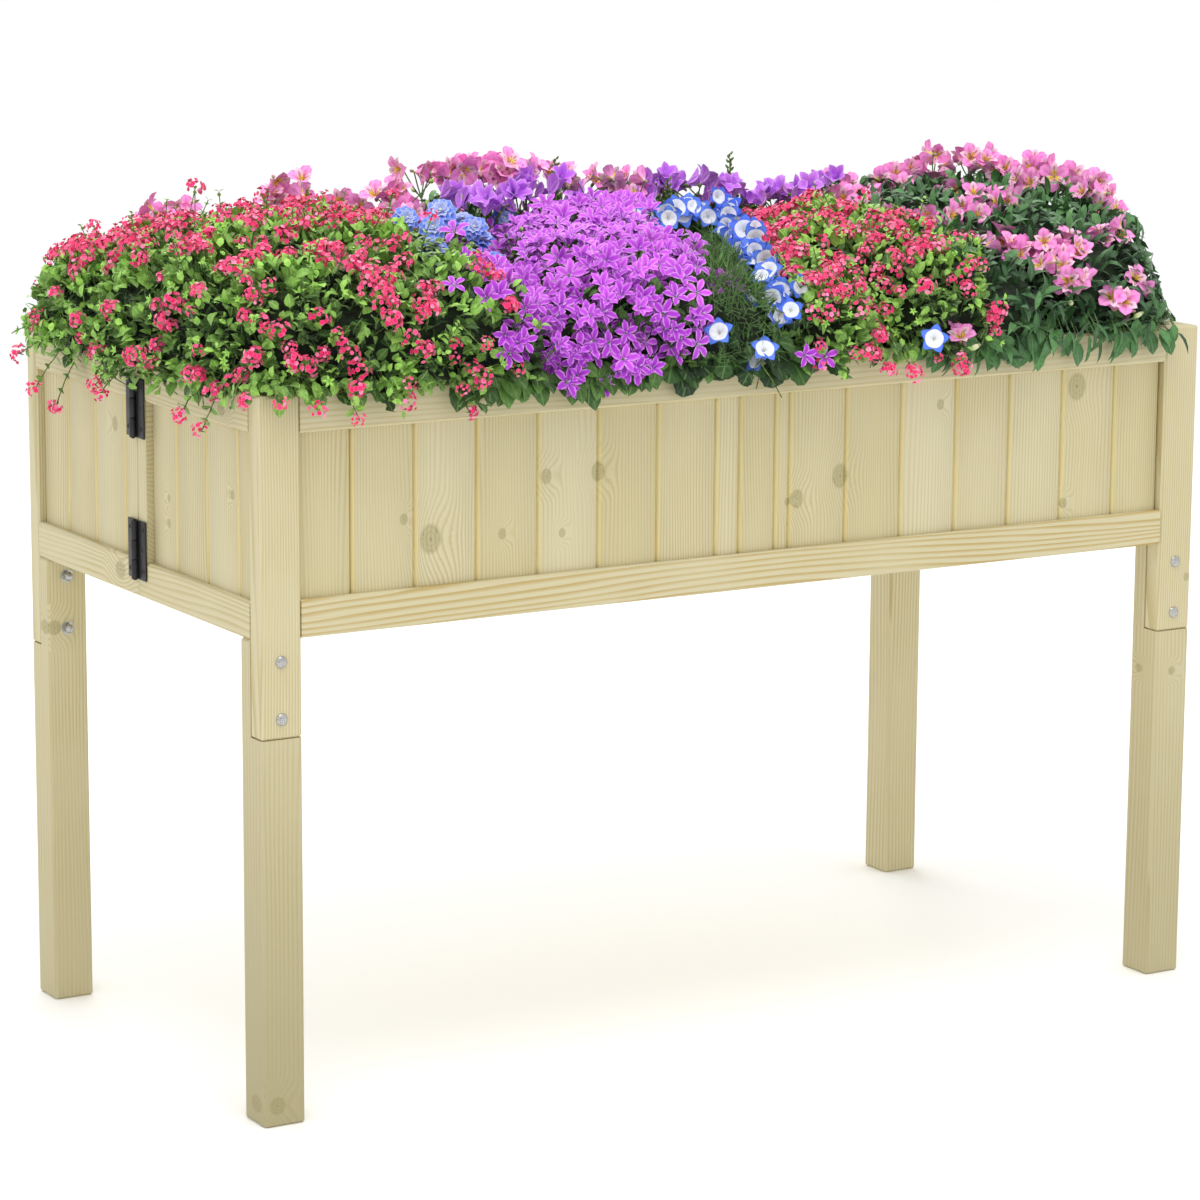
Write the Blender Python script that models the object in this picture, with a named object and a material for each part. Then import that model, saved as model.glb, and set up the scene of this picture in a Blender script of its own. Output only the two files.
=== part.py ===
"""Planted raised bed: a folding timber box on four bolted legs, filled with soil and flowering plants.

Frame: metres, +Z up, +X along the bed, +Y from the front panel to the rear panel. The origin is on the
ground under the middle of the box, so the feet stand on z = 0.
"""

import math
import random
from dataclasses import dataclass

import bmesh
import bpy
from mathutils import Matrix, Vector
from mathutils.bvhtree import BVHTree

# Driving dimensions of the box
LENGTH = 1.230
WIDTH = 0.600
RIM = 0.786
LEG = 0.048
THICK = 0.025
LAP_SHOULDER = 0.4224
END_BOTTOM = 0.5265
SIDE_BOTTOM = 0.5285
RAIL_HEIGHT = 0.0405
GAP = 0.0003
EASED = 0.0025
TENON = 0.0100

# Matchboarding
BOARD_RECESS = 0.0085
BOARD_THICK = 0.012
BOARD_PITCH = 0.0755
BOARD_VEE = 0.0030
HOUSING = 0.0065
FULL_BOARDS = 6
LEFT_RUN = -0.5034
MIDDLE_JOINTS = (-0.019, 0.028)
RIGHT_RUN = 0.0470
STILE = 0.020
REAR_HALF_JOINTS = (0.0507, 0.1290, 0.2038)
FRONT_HALF_JOINTS = (-0.0832, -0.1581, -0.2340)
FOLD_GAP = 0.0006

# Floor, liner and soil
BEARER = 0.022
FLOOR_THICK = 0.012
DRAIN_RADIUS = 0.010
DRAIN_ROWS = (-0.14, 0.14)
DRAIN_COLUMNS = (-0.45, -0.15, 0.15, 0.45)
LINER_STANDOFF = 0.0030
LINER_THICK = 0.0015
LINER_TOP = 0.766
LINER_CORNER = 0.014
SOIL_TOP = 0.762

# Bolts with their cap nuts, and the hinges of the folding ends
BOLT_HEIGHTS = (0.4440, 0.5055)
SHANK_RADIUS = 0.0029
HOLE_RADIUS = 0.0033
HEAD_RADIUS = 0.0068
HEAD_HEIGHT = 0.0034
NUT_RADIUS = 0.0064
NUT_HEIGHT = 0.0096
HINGE_WIDTH = 0.045
HINGE_HEIGHT = 0.066
HINGE_BOTTOMS = (0.5465, 0.7040)
HINGE_PLATE = 0.0020
KNUCKLE_RADIUS = 0.0042
PIN_RADIUS = 0.0016
PIN_BORE = 0.0021

# Planting
CANOPY_REACH = (0.668, 0.326)
CANOPY_SQUARENESS = 6.0
CANOPY_EDGE = 0.806
CANOPY_UNDERSIDE = RIM + 0.0006
PLANTING_POCKET = (0.582, 0.2665)
CRACK = 0.0016
RAYS = 18
RINGS = (0.25, 0.50, 0.72, 0.90, 1.0)
STEM_RINGS = 4
STEM_CLEARANCE = 0.0007
STEM_DEPTH = 0.0032
ROOTED = 0.0016

# Frames that carry a panel's own axes (along, inward, up) to the bed
FRONT = Matrix.Translation((0, -WIDTH / 2, 0))
REAR = Matrix.Translation((0, WIDTH / 2, 0)) @ Matrix.Rotation(math.pi, 4, "Z")
LEFT = Matrix.Translation((-LENGTH / 2, 0, 0)) @ Matrix.Rotation(-math.pi / 2, 4, "Z")
RIGHT = Matrix.Translation((LENGTH / 2, 0, 0)) @ Matrix.Rotation(math.pi / 2, 4, "Z")


@dataclass(frozen=True)
class Finish:
    """A piece's plain colour, roughness and metallic value."""

    colour: tuple
    roughness: float = 0.7
    metallic: float = 0.0


POST_WOOD = Finish((0.62, 0.55, 0.36), 0.62)
LEG_WOOD = Finish((0.56, 0.50, 0.32), 0.62)
RAIL_WOOD = Finish((0.66, 0.58, 0.38), 0.60)
BOARD_WOOD = Finish((0.68, 0.61, 0.41), 0.62)
FLOOR_WOOD = Finish((0.50, 0.42, 0.27), 0.75)
ZINC = Finish((0.62, 0.62, 0.60), 0.28, 1.0)
BLACK_STEEL = Finish((0.015, 0.015, 0.017), 0.42, 0.6)
LINER_CLOTH = Finish((0.02, 0.02, 0.02), 0.9)
SOIL = Finish((0.045, 0.030, 0.020), 0.95)


# Blooms placed by hand, as plan stations (x, y)
REAR_ALSTROEMERIA = ((-0.36, 0.17), (-0.30, 0.23), (-0.24, 0.15), (-0.19, 0.24), (-0.13, 0.17),
                     (-0.08, 0.25), (-0.03, 0.18))
RIGHT_ALSTROEMERIA = ((0.36, 0.10), (0.41, 0.02), (0.43, 0.14), (0.48, -0.06), (0.50, 0.06), (0.56, 0.00),
                      (0.45, -0.16), (0.53, -0.17), (0.60, -0.12), (0.50, 0.20), (0.58, 0.20), (0.60, -0.22))
DOUBLE_BLOOMS = ((-0.285, 0.045), (-0.240, 0.095), (-0.225, 0.010), (-0.180, 0.060), (-0.270, -0.010))
NEMOPHILA_ARC = ((0.015, 0.020), (0.060, -0.030), (0.110, -0.070), (0.135, -0.125), (0.120, -0.180),
                 (0.140, -0.240), (0.075, -0.250))
TALL_BELLS = ((0.06, 0.12), (0.12, 0.10), (0.12, 0.20), (0.19, 0.12), (0.25, 0.18), (0.20, 0.24),
              (0.30, 0.13), (0.08, 0.23))
BUD_SPIKES = ((0.035, 0.175), (0.165, 0.160))

# Trailing sprigs over the left end: station y, reach and fall of the sprig
SPRIGS = ((0.13, 0.030, 0.25), (0.02, 0.032, 0.45), (-0.11, 0.034, 0.7), (-0.21, 0.032, 0.9))
EDGE_LEAVES = 22


@dataclass(frozen=True)
class Plant:
    """One plant: its crown in plan, the height of its leaf mass, its finishes and its blooms and leaves."""

    name: str
    centre: tuple
    spread: tuple
    top: float
    weight: float
    green: Finish
    bloom: Finish
    kind: str
    scattered: int
    leaf: str
    leaves: int
    stations: tuple = ()
    forward: float = 0.3


PLANTS = (
    Plant("lantana_left", (-0.450, -0.050), (0.34, 0.40), 0.925, 0.055, Finish((0.10, 0.22, 0.035)),
          Finish((0.72, 0.035, 0.12)), "umbel", 34, "small_leaf", 22),
    Plant("alstroemeria_rear", (-0.170, 0.200), (0.30, 0.22), 0.905, 0.020, Finish((0.035, 0.10, 0.025)),
          Finish((0.80, 0.27, 0.45)), "trumpet", 3, "long_leaf", 10, REAR_ALSTROEMERIA, 0.25),
    Plant("double_bellflower", (-0.215, 0.055), (0.20, 0.17), 0.880, 0.006, Finish((0.12, 0.25, 0.04)),
          Finish((0.17, 0.22, 0.72)), "double", 1, "small_leaf", 4, DOUBLE_BLOOMS, 0.45),
    Plant("campanula", (-0.110, -0.130), (0.27, 0.30), 0.895, 0.022, Finish((0.06, 0.14, 0.03)),
          Finish((0.45, 0.10, 0.68)), "bellstar", 28, "small_leaf", 8),
    Plant("tall_bellflower", (0.170, 0.190), (0.27, 0.24), 0.895, 0.016, Finish((0.05, 0.14, 0.03)),
          Finish((0.52, 0.20, 0.75)), "tall_bell", 6, "long_leaf", 8, TALL_BELLS, 0.1),
    Plant("nemophila", (0.085, -0.130), (0.20, 0.26), 0.865, 0.006, Finish((0.04, 0.10, 0.025)),
          Finish((0.16, 0.25, 0.80)), "saucer", 2, "small_leaf", 5, NEMOPHILA_ARC, 0.55),
    Plant("lantana_right", (0.250, -0.090), (0.26, 0.34), 0.900, 0.022, Finish((0.11, 0.24, 0.04)),
          Finish((0.75, 0.04, 0.14)), "umbel", 20, "small_leaf", 12),
    Plant("alstroemeria_right", (0.490, 0.010), (0.29, 0.42), 0.925, 0.045, Finish((0.03, 0.09, 0.025)),
          Finish((0.80, 0.20, 0.42)), "trumpet", 4, "long_leaf", 16, RIGHT_ALSTROEMERIA, 0.35),
)


def clear_scene():
    """Remove every object of the open file."""
    for item in list(bpy.data.objects):
        bpy.data.objects.remove(item, do_unlink=True)


def finish_material(name, finish):
    """A Principled material in the piece's own colour."""
    material = bpy.data.materials.new(name)
    material.use_nodes = True
    shader = material.node_tree.nodes["Principled BSDF"]
    shader.inputs["Base Color"].default_value = (*finish.colour, 1.0)
    shader.inputs["Roughness"].default_value = finish.roughness
    shader.inputs["Metallic"].default_value = finish.metallic
    return material


def add_piece(name, shape, finish, smooth_angle=None):
    """Make the named object of a bmesh and give it its material."""
    bmesh.ops.recalc_face_normals(shape, faces=shape.faces)
    mesh = bpy.data.meshes.new(name)
    shape.to_mesh(mesh)
    shape.free()
    if smooth_angle is not None:
        mesh.shade_smooth()
        mesh.set_sharp_from_angle(angle=smooth_angle)
    piece = bpy.data.objects.new(name, mesh)
    bpy.context.scene.collection.objects.link(piece)
    mesh.materials.append(finish_material(name, finish))
    return piece


def add_cutter(name, shape):
    """Make a hidden wire object for a Boolean."""
    cutter = add_piece(name, shape, ZINC)
    cutter.hide_render = True
    cutter.display_type = "WIRE"
    return cutter


def cut(piece, cutter, operation="DIFFERENCE"):
    """Add an exact Boolean modifier."""
    modifier = piece.modifiers.new(operation.title(), "BOOLEAN")
    modifier.operation = operation
    modifier.solver = "EXACT"
    modifier.object = cutter


def prism(shape, outline, low, high, frame=Matrix.Identity(4), axis=2):
    """Extrude a closed outline of (a, b) points from low to high along one of the frame's axes."""
    def corner(a, b, level):
        point = [a, b]
        point.insert(axis, level)
        return frame @ Vector(point)

    bottom = [shape.verts.new(corner(a, b, low)) for a, b in outline]
    top = [shape.verts.new(corner(a, b, high)) for a, b in outline]
    shape.faces.new(bottom[::-1])
    shape.faces.new(top)
    for i, here in enumerate(bottom):
        after = (i + 1) % len(bottom)
        shape.faces.new((here, bottom[after], top[after], top[i]))
    return shape


def rectangle(a0, a1, b0, b1, edge=0.0):
    """A rectangle's outline, with its corners cut by edge."""
    if not edge:
        return [(a0, b0), (a1, b0), (a1, b1), (a0, b1)]
    return [(a0 + edge, b0), (a1 - edge, b0), (a1, b0 + edge), (a1, b1 - edge),
            (a1 - edge, b1), (a0 + edge, b1), (a0, b1 - edge), (a0, b0 + edge)]


def block(shape, low, high, frame=Matrix.Identity(4)):
    """A plain box between two corners."""
    return prism(shape, rectangle(low[0], high[0], low[1], high[1]), low[2], high[2], frame)


def lathe(shape, profile, sides, frame):
    """Turn a profile of (radius, height) about the frame's Z axis; its two ends are on the axis."""
    first = shape.verts.new(frame @ Vector((0, 0, profile[0][1])))
    last = shape.verts.new(frame @ Vector((0, 0, profile[-1][1])))
    rings = []
    for radius, height in profile[1:-1]:
        turns = [math.tau * k / sides for k in range(sides)]
        rings.append([shape.verts.new(frame @ Vector((radius * math.cos(t), radius * math.sin(t), height)))
                      for t in turns])
    for k in range(sides):
        after = (k + 1) % sides
        shape.faces.new((first, rings[0][k], rings[0][after]))
        for lower, upper in zip(rings, rings[1:]):
            shape.faces.new((lower[k], upper[k], upper[after], lower[after]))
        shape.faces.new((last, rings[-1][after], rings[-1][k]))
    return shape


# ---------------------------------------------------------------- legs, posts and bolts

def corner_signs():
    """The four corners of the bed: side word, end word, and the signs of y and x."""
    for side, sy in (("front", -1), ("rear", 1)):
        for end, sx in (("left", -1), ("right", 1)):
            yield side, end, sy, sx


def softened(low, high):
    """A timber's block between two corners, its edges eased by a one-step bevel."""
    shape = block(bmesh.new(), low, high)
    bmesh.ops.bevel(shape, geom=list(shape.edges), offset=EASED, segments=1, affect="EDGES")
    return shape


def bolt_frame(x, sy, height):
    """A bolt's own frame: +Z runs inward from the post's outer face."""
    return Matrix.Translation((x, sy * WIDTH / 2, height)) @ Matrix.Rotation(sy * math.pi / 2, 4, "X")


def build_leg(side, end, sy, sx, holes):
    """A square leg whose upper part is halved to a tongue behind the post."""
    x0, x1 = sorted((sx * LENGTH / 2, sx * (LENGTH / 2 - LEG)))
    y0, y1 = sorted((sy * WIDTH / 2, sy * (WIDTH / 2 - LEG)))
    tongue_top = END_BOTTOM - GAP
    leg = add_piece(f"leg_{side}_{end}", softened((x0, y0, 0), (x1, y1, tongue_top)), LEG_WOOD)
    n0, n1 = sorted((sy * (WIDTH / 2 + 0.01), sy * (WIDTH / 2 - THICK - GAP)))
    notch = block(bmesh.new(), (x0 - 0.01, n0, LAP_SHOULDER), (x1 + 0.01, n1, tongue_top + 0.01))
    cut(leg, add_cutter(f"notch_{side}_{end}", notch))
    for hole in holes:
        cut(leg, hole)


def build_post(side, end, sy, sx, holes):
    """A corner post in the leg's outer half, flush with the rails."""
    x0, x1 = sorted((sx * LENGTH / 2, sx * (LENGTH / 2 - LEG)))
    y0, y1 = sorted((sy * WIDTH / 2, sy * (WIDTH / 2 - THICK)))
    shape = softened((x0, y0, LAP_SHOULDER + GAP), (x1, y1, RIM))
    post = add_piece(f"post_{side}_{end}", shape, POST_WOOD)
    for hole in holes:
        cut(post, hole)


def bolt_shape(frame):
    """A button-headed bolt through post and tongue, with its cap nut run home on the inner face."""
    seat = LEG + GAP
    profile = [(0, -HEAD_HEIGHT), (HEAD_RADIUS * 0.62, -HEAD_HEIGHT), (HEAD_RADIUS, -HEAD_HEIGHT * 0.35),
               (HEAD_RADIUS, -GAP), (SHANK_RADIUS, -GAP), (SHANK_RADIUS, seat), (NUT_RADIUS, seat),
               (NUT_RADIUS, seat + NUT_HEIGHT * 0.5), (NUT_RADIUS * 0.62, seat + NUT_HEIGHT * 0.86),
               (0, seat + NUT_HEIGHT)]
    return lathe(bmesh.new(), profile, 8, frame)


def build_legs_and_posts():
    """Four legs and four posts, clamped by two bolts at each corner."""
    for side, end, sy, sx in corner_signs():
        holes = []
        for level, height in zip(("lower", "upper"), BOLT_HEIGHTS):
            frame = bolt_frame(sx * (LENGTH - LEG) / 2, sy, height)
            bore = lathe(bmesh.new(), [(0, -0.01), (HOLE_RADIUS, -0.01), (HOLE_RADIUS, LEG + 0.01),
                                       (0, LEG + 0.01)], 8, frame)
            holes.append(add_cutter(f"bore_{side}_{end}_{level}", bore))
            add_piece(f"bolt_{side}_{end}_{level}", bolt_shape(frame), ZINC, math.radians(35))
        build_leg(side, end, sy, sx, holes)
        build_post(side, end, sy, sx, holes)


# ---------------------------------------------------------------- panels

def rail_outline(bottom, top, groove_up):
    """Cross-section (inward, up) of a rail with a housing for the boards in its upper or lower edge."""
    near = BOARD_RECESS - GAP
    far = BOARD_RECESS + BOARD_THICK + GAP
    depth = HOUSING + GAP
    outline = [(0, bottom + EASED), (EASED, bottom), (THICK, bottom), (THICK, top), (EASED, top),
               (0, top - EASED)]
    if groove_up:
        groove = [(far, top), (far, top - depth), (near, top - depth), (near, top)]
        return outline[:4] + groove + outline[4:]
    groove = [(near, bottom), (near, bottom + depth), (far, bottom + depth), (far, bottom)]
    return outline[:2] + groove + outline[2:]


def rail_shape(frame, start, stop, bottom, groove_up):
    """One rail between two stations along its panel."""
    outline = rail_outline(bottom, bottom + RAIL_HEIGHT, groove_up)
    return prism(bmesh.new(), outline, start, stop, frame, axis=0)


def build_boards(name, frame, joints, bottom, top):
    """Matchboards glued edge to edge, with a vee at each joint, housed in the rails below and above."""
    face, back = BOARD_RECESS, BOARD_RECESS + BOARD_THICK
    outline = [(joints[0], face)]
    for joint in joints[1:-1]:
        outline += [(joint - BOARD_VEE, face), (joint, face + BOARD_VEE * 1.3), (joint + BOARD_VEE, face)]
    outline += [(joints[-1], face), (joints[-1], back), (joints[0], back)]
    add_piece(name, prism(bmesh.new(), outline, bottom - HOUSING, top + HOUSING, frame), BOARD_WOOD)


def long_joints():
    """Stations of the board joints of a long panel, from its left post to its right post."""
    stop = LENGTH / 2 - LEG - GAP
    left = [LEFT_RUN + k * BOARD_PITCH for k in range(FULL_BOARDS + 1)]
    right = [RIGHT_RUN + k * BOARD_PITCH for k in range(FULL_BOARDS + 1)]
    return [-stop, *left, *MIDDLE_JOINTS, *right, stop]


def build_long_panel(side, frame):
    """The front or rear panel between its posts."""
    stop = LENGTH / 2 - LEG - GAP
    rail_top = SIDE_BOTTOM + RAIL_HEIGHT
    add_piece(f"{side}_rail_bottom", rail_shape(frame, -stop, stop, SIDE_BOTTOM, True), RAIL_WOOD)
    add_piece(f"{side}_rail_top", rail_shape(frame, -stop, stop, RIM - RAIL_HEIGHT, False), RAIL_WOOD)
    build_boards(f"{side}_boards", frame, long_joints(), rail_top, RIM - RAIL_HEIGHT)


def build_half_panel(prefix, frame, post_edge, fold_edge, joints):
    """One half of an end panel: a glued frame of two rails and a stile at the fold, with its boards."""
    low, high = sorted((post_edge, fold_edge))
    rail_top = END_BOTTOM + RAIL_HEIGHT
    half = add_piece(f"{prefix}_frame", rail_shape(frame, low, high, END_BOTTOM, True), RAIL_WOOD)
    top_rail = rail_shape(frame, low, high, RIM - RAIL_HEIGHT, False)
    inner = fold_edge + math.copysign(STILE, post_edge - fold_edge)
    s0, s1 = sorted((fold_edge + math.copysign(GAP, post_edge), inner))
    outline = rectangle(s0, s1, GAP, THICK - GAP, EASED * 0.5)
    stile = prism(bmesh.new(), outline, rail_top - TENON, RIM - RAIL_HEIGHT + TENON, frame)
    for role, shape in (("stile", stile), ("top_rail", top_rail)):
        cut(half, add_cutter(f"{prefix}_{role}", shape), "UNION")
    ends = sorted([inner + math.copysign(GAP, post_edge), *joints, post_edge])
    build_boards(f"{prefix}_boards", frame, ends, rail_top, RIM - RAIL_HEIGHT)


def build_end_panel(end, frame, along):
    """A folding end panel; along is the sign that carries the bed's y to the panel's own axis."""
    post_edge = WIDTH / 2 - THICK - GAP
    for half, sy, joints in (("rear", 1, REAR_HALF_JOINTS), ("front", -1, FRONT_HALF_JOINTS)):
        stations = [along * y for y in joints]
        build_half_panel(f"{end}_{half}", frame, along * sy * post_edge, along * sy * FOLD_GAP / 2, stations)


# ---------------------------------------------------------------- hinges

def bar(frame, radius, low, high, sides=8):
    """A round bar on a hinge's axis in its panel's frame."""
    place = frame @ Matrix.Translation((0, -(KNUCKLE_RADIUS + GAP), low))
    return lathe(bmesh.new(), [(0, 0), (radius, 0), (radius, high - low), (0, high - low)], sides, place)


def build_hinge_leaf(name, frame, sign, bottom, wraps, holds_pin):
    """A leaf on a panel's outer face; its knuckles wrap the axis at the given thirds of its height."""
    third = HINGE_HEIGHT / 3
    inner, outer = sorted((sign * FOLD_GAP, sign * HINGE_WIDTH / 2))
    top = bottom + HINGE_HEIGHT
    plate = block(bmesh.new(), (inner, -HINGE_PLATE - GAP, bottom), (outer, -GAP, top), frame)
    leaf = add_piece(name, plate, BLACK_STEEL, math.radians(35))
    for k in range(3):
        low, high = bottom + k * third, bottom + (k + 1) * third
        if k in wraps:
            knuckle = bar(frame, KNUCKLE_RADIUS, low + GAP / 2, high - GAP / 2)
            cut(leaf, add_cutter(f"{name}_knuckle_{k}", knuckle), "UNION")
        else:
            n0, n1 = sorted((-sign * 0.01, sign * (KNUCKLE_RADIUS + 0.0006)))
            notch = block(bmesh.new(), (n0, -0.02, low - GAP / 2), (n1, 0.01, high + GAP / 2), frame)
            cut(leaf, add_cutter(f"{name}_notch_{k}", notch))
    if holds_pin:
        pin = bar(frame, PIN_RADIUS, bottom - 0.001, top + 0.001)
        cut(leaf, add_cutter(f"{name}_pin", pin), "UNION")
    else:
        cut(leaf, add_cutter(f"{name}_bore", bar(frame, PIN_BORE, bottom - 0.01, top + 0.01)))


def build_end_hinges():
    """Two butt hinges across the fold of each end panel; the rear leaf carries the riveted pin."""
    for end, frame, along in (("left", LEFT, -1), ("right", RIGHT, 1)):
        for level, bottom in zip(("lower", "upper"), HINGE_BOTTOMS):
            build_hinge_leaf(f"{end}_hinge_{level}_rear_leaf", frame, along, bottom, (0, 2), True)
            build_hinge_leaf(f"{end}_hinge_{level}_front_leaf", frame, -along, bottom, (1,), False)


# ---------------------------------------------------------------- floor, liner and soil

def build_floor():
    """Bearers along the long panels and a drained floor board on them. Gives the height of its top."""
    reach = LENGTH / 2 - LEG - GAP
    inner = WIDTH / 2 - THICK - GAP
    for side, sy in (("front", -1), ("rear", 1)):
        y0, y1 = sorted((sy * inner, sy * (inner - BEARER)))
        shape = block(bmesh.new(), (-reach, y0, SIDE_BOTTOM), (reach, y1, SIDE_BOTTOM + BEARER))
        add_piece(f"floor_bearer_{side}", shape, FLOOR_WOOD)
    bottom = SIDE_BOTTOM + BEARER + GAP
    top = bottom + FLOOR_THICK
    half_x = LENGTH / 2 - THICK - 0.003
    half_y = inner - 0.003
    floor = add_piece("floor_board", block(bmesh.new(), (-half_x, -half_y, bottom), (half_x, half_y, top)),
                      FLOOR_WOOD)
    for i, x in enumerate(DRAIN_COLUMNS):
        for j, y in enumerate(DRAIN_ROWS):
            place = Matrix.Translation((x, y, bottom - 0.01))
            depth = FLOOR_THICK + 0.02
            profile = [(0, 0), (DRAIN_RADIUS, 0), (DRAIN_RADIUS, depth), (0, depth)]
            drain = lathe(bmesh.new(), profile, 8, place)
            cut(floor, add_cutter(f"drain_{i}_{j}", drain))
    return top


def build_liner_and_soil(floor_top):
    """A cloth tray that lines the box, and the soil that fills it."""
    half_x = LENGTH / 2 - THICK - LINER_STANDOFF
    half_y = WIDTH / 2 - THICK - LINER_STANDOFF
    base = floor_top + GAP
    outer = rectangle(-half_x, half_x, -half_y, half_y, LINER_CORNER)
    inner = rectangle(-half_x + LINER_THICK, half_x - LINER_THICK, -half_y + LINER_THICK,
                      half_y - LINER_THICK, LINER_CORNER - LINER_THICK * 0.4)
    tray = bmesh.new()
    rings = ((outer, base), (outer, LINER_TOP), (inner, LINER_TOP), (inner, base + LINER_THICK))
    loops = [[tray.verts.new((x, y, z)) for x, y in ring] for ring, z in rings]
    count = len(outer)
    for lower, upper in zip(loops, loops[1:]):
        for k in range(count):
            after = (k + 1) % count
            tray.faces.new((lower[k], lower[after], upper[after], upper[k]))
    tray.faces.new(loops[0][::-1])
    tray.faces.new(loops[-1])
    add_piece("liner", tray, LINER_CLOTH)
    inset = LINER_THICK + GAP
    fill = rectangle(-half_x + inset, half_x - inset, -half_y + inset, half_y - inset, LINER_CORNER)
    add_piece("soil", prism(bmesh.new(), fill, base + LINER_THICK + GAP, SOIL_TOP), SOIL)


# ---------------------------------------------------------------- planting

def canopy_height(x, y):
    """Height of the joint leaf canopy above a plan point: the highest crown there, with a gentle ripple."""
    rise = 0.0
    for plant in PLANTS:
        u = (x - plant.centre[0]) / plant.spread[0]
        v = (y - plant.centre[1]) / plant.spread[1]
        rest = 1.0 - u * u - v * v
        if rest > 0:
            rise = max(rise, (plant.top - CANOPY_EDGE) * rest ** 0.7)
    ripple = math.sin(61 * x + 1.3) * math.sin(53 * y + 0.7) + 0.6 * math.sin(97 * x - 71 * y)
    return CANOPY_EDGE + rise + 0.006 * ripple


def exit_distance(start, heading, half_x, half_y):
    """Distance from a point inside a centred rectangle to its edge along a heading."""
    reach = []
    for origin, step, half in ((start.x, heading.x, half_x), (start.y, heading.y, half_y)):
        if abs(step) > 1e-9:
            reach.append((math.copysign(half, step) - origin) / step)
    return min(reach)


def outer_distance(start, heading):
    """Distance to the rounded outline of the whole canopy."""
    low, high = 0.0, 2.0
    for _ in range(40):
        middle = (low + high) / 2
        x, y = start + heading * middle
        inside = (abs(x / CANOPY_REACH[0]) ** CANOPY_SQUARENESS
                  + abs(y / CANOPY_REACH[1]) ** CANOPY_SQUARENESS) < 1
        low, high = (middle, high) if inside else (low, middle)
    return low


def cell_distance(plant, heading):
    """Distance from a plant's centre to its boundary with its neighbours or the canopy's edge."""
    start = Vector(plant.centre)
    reach = outer_distance(start, heading)
    for other in PLANTS:
        between = Vector(other.centre) - start
        if other is plant or heading.dot(between) <= 1e-6:
            continue
        share = (between.length_squared + plant.weight - other.weight) / (2 * between.length)
        reach = min(reach, (share - CRACK / 2) / heading.dot(between.normalized()))
    return reach


def headings():
    """The plan directions of a plant's rays."""
    for k in range(RAYS):
        turn = math.tau * k / RAYS
        yield Vector((math.cos(turn), math.sin(turn)))


def crown_points(plant):
    """The middle of a plant's canopy, and for each ray its points from the middle to the boundary."""
    start = Vector(plant.centre)
    spokes = []
    for heading in headings():
        reach = cell_distance(plant, heading)
        plan = [start + heading * reach * share for share in RINGS]
        spokes.append([Vector((x, y, canopy_height(x, y))) for x, y in plan])
    return Vector((*plant.centre, canopy_height(*plant.centre))), spokes


def crown_cap(shape, middle, spokes, rings, lift):
    """Lay a triangulated cap over a crown, raised by lift. Gives the points of its outer ring."""
    rise = Vector((0, 0, lift))
    first = shape.verts.new(middle + rise)
    rows = [[shape.verts.new(point + rise) for point in spoke[:rings]] for spoke in spokes]
    for k, here in enumerate(rows):
        beside = rows[(k + 1) % len(rows)]
        shape.faces.new((first, here[0], beside[0]))
        for level in range(rings - 1):
            shape.faces.new((here[level], here[level + 1], beside[level + 1]))
            shape.faces.new((here[level], beside[level + 1], beside[level]))
    return [row[-1] for row in rows]


def band(shape, upper, lower):
    """Join two rings of points by a triangulated band."""
    for k, high in enumerate(upper):
        after = (k + 1) % len(upper)
        shape.faces.new((high, lower[k], lower[after]))
        shape.faces.new((high, lower[after], upper[after]))


def face_out(shape):
    """Turn the faces of a closed body outward."""
    bmesh.ops.recalc_face_normals(shape, faces=shape.faces)
    if shape.calc_volume(signed=True) < 0:
        bmesh.ops.reverse_faces(shape, faces=shape.faces)
    return shape


def leaf_mass(plant):
    """The dense body of one plant's leaves: it stands on the soil and spills over the rim."""
    start = Vector(plant.centre)
    crown, spokes = crown_points(plant)
    shape = bmesh.new()
    rings = [crown_cap(shape, crown, spokes, len(RINGS) - 1, 0.0)]
    levels = [[], [], [], []]
    for heading, spoke in zip(headings(), spokes):
        reach = cell_distance(plant, heading)
        pocket = min(reach * 0.9, exit_distance(start, heading, *PLANTING_POCKET))
        edge = spoke[-1].copy()
        edge.z -= 0.35 * (edge.z - CANOPY_UNDERSIDE)
        under = [(reach * 0.985, CANOPY_UNDERSIDE), (pocket, CANOPY_UNDERSIDE), (pocket, SOIL_TOP + GAP)]
        points = [edge] + [Vector((*(start + heading * r), z)) for r, z in under]
        for level, point in zip(levels, points):
            level.append(shape.verts.new(point))
    rings += levels
    for upper, lower in zip(rings, rings[1:]):
        band(shape, upper, lower)
    root = shape.verts.new((*plant.centre, SOIL_TOP + GAP))
    for k, corner in enumerate(rings[-1]):
        shape.faces.new((root, rings[-1][(k + 1) % RAYS], corner))
    return face_out(shape)


def stem_layer(plant):
    """The layer of flowering stems that lies on a plant's leaf mass, from its middle almost to its edge."""
    crown, spokes = crown_points(plant)
    shape = bmesh.new()
    upper = crown_cap(shape, crown, spokes, STEM_RINGS, STEM_CLEARANCE + STEM_DEPTH)
    lower = crown_cap(shape, crown, spokes, STEM_RINGS, STEM_CLEARANCE)
    band(shape, upper, lower)
    return face_out(shape)


def star(petals, radius, notch, cup, foot, crown=0.004):
    """Points and faces of a closed flower: a ring of petal tips and notches between two apexes."""
    points = [Vector((0, 0, 0)), Vector((0, 0, foot + cup * 0.45 + crown))]
    for k in range(2 * petals):
        turn = math.pi * k / petals
        reach = radius if k % 2 == 0 else radius * notch
        lift = cup if k % 2 == 0 else cup * 0.72
        points.append(Vector((reach * math.cos(turn), reach * math.sin(turn), foot + lift)))
    faces = []
    for here in range(2, 2 + 2 * petals):
        after = 2 + (here - 1) % (2 * petals)
        faces += [(0, after, here), (1, here, after)]
    return points, faces


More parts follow.
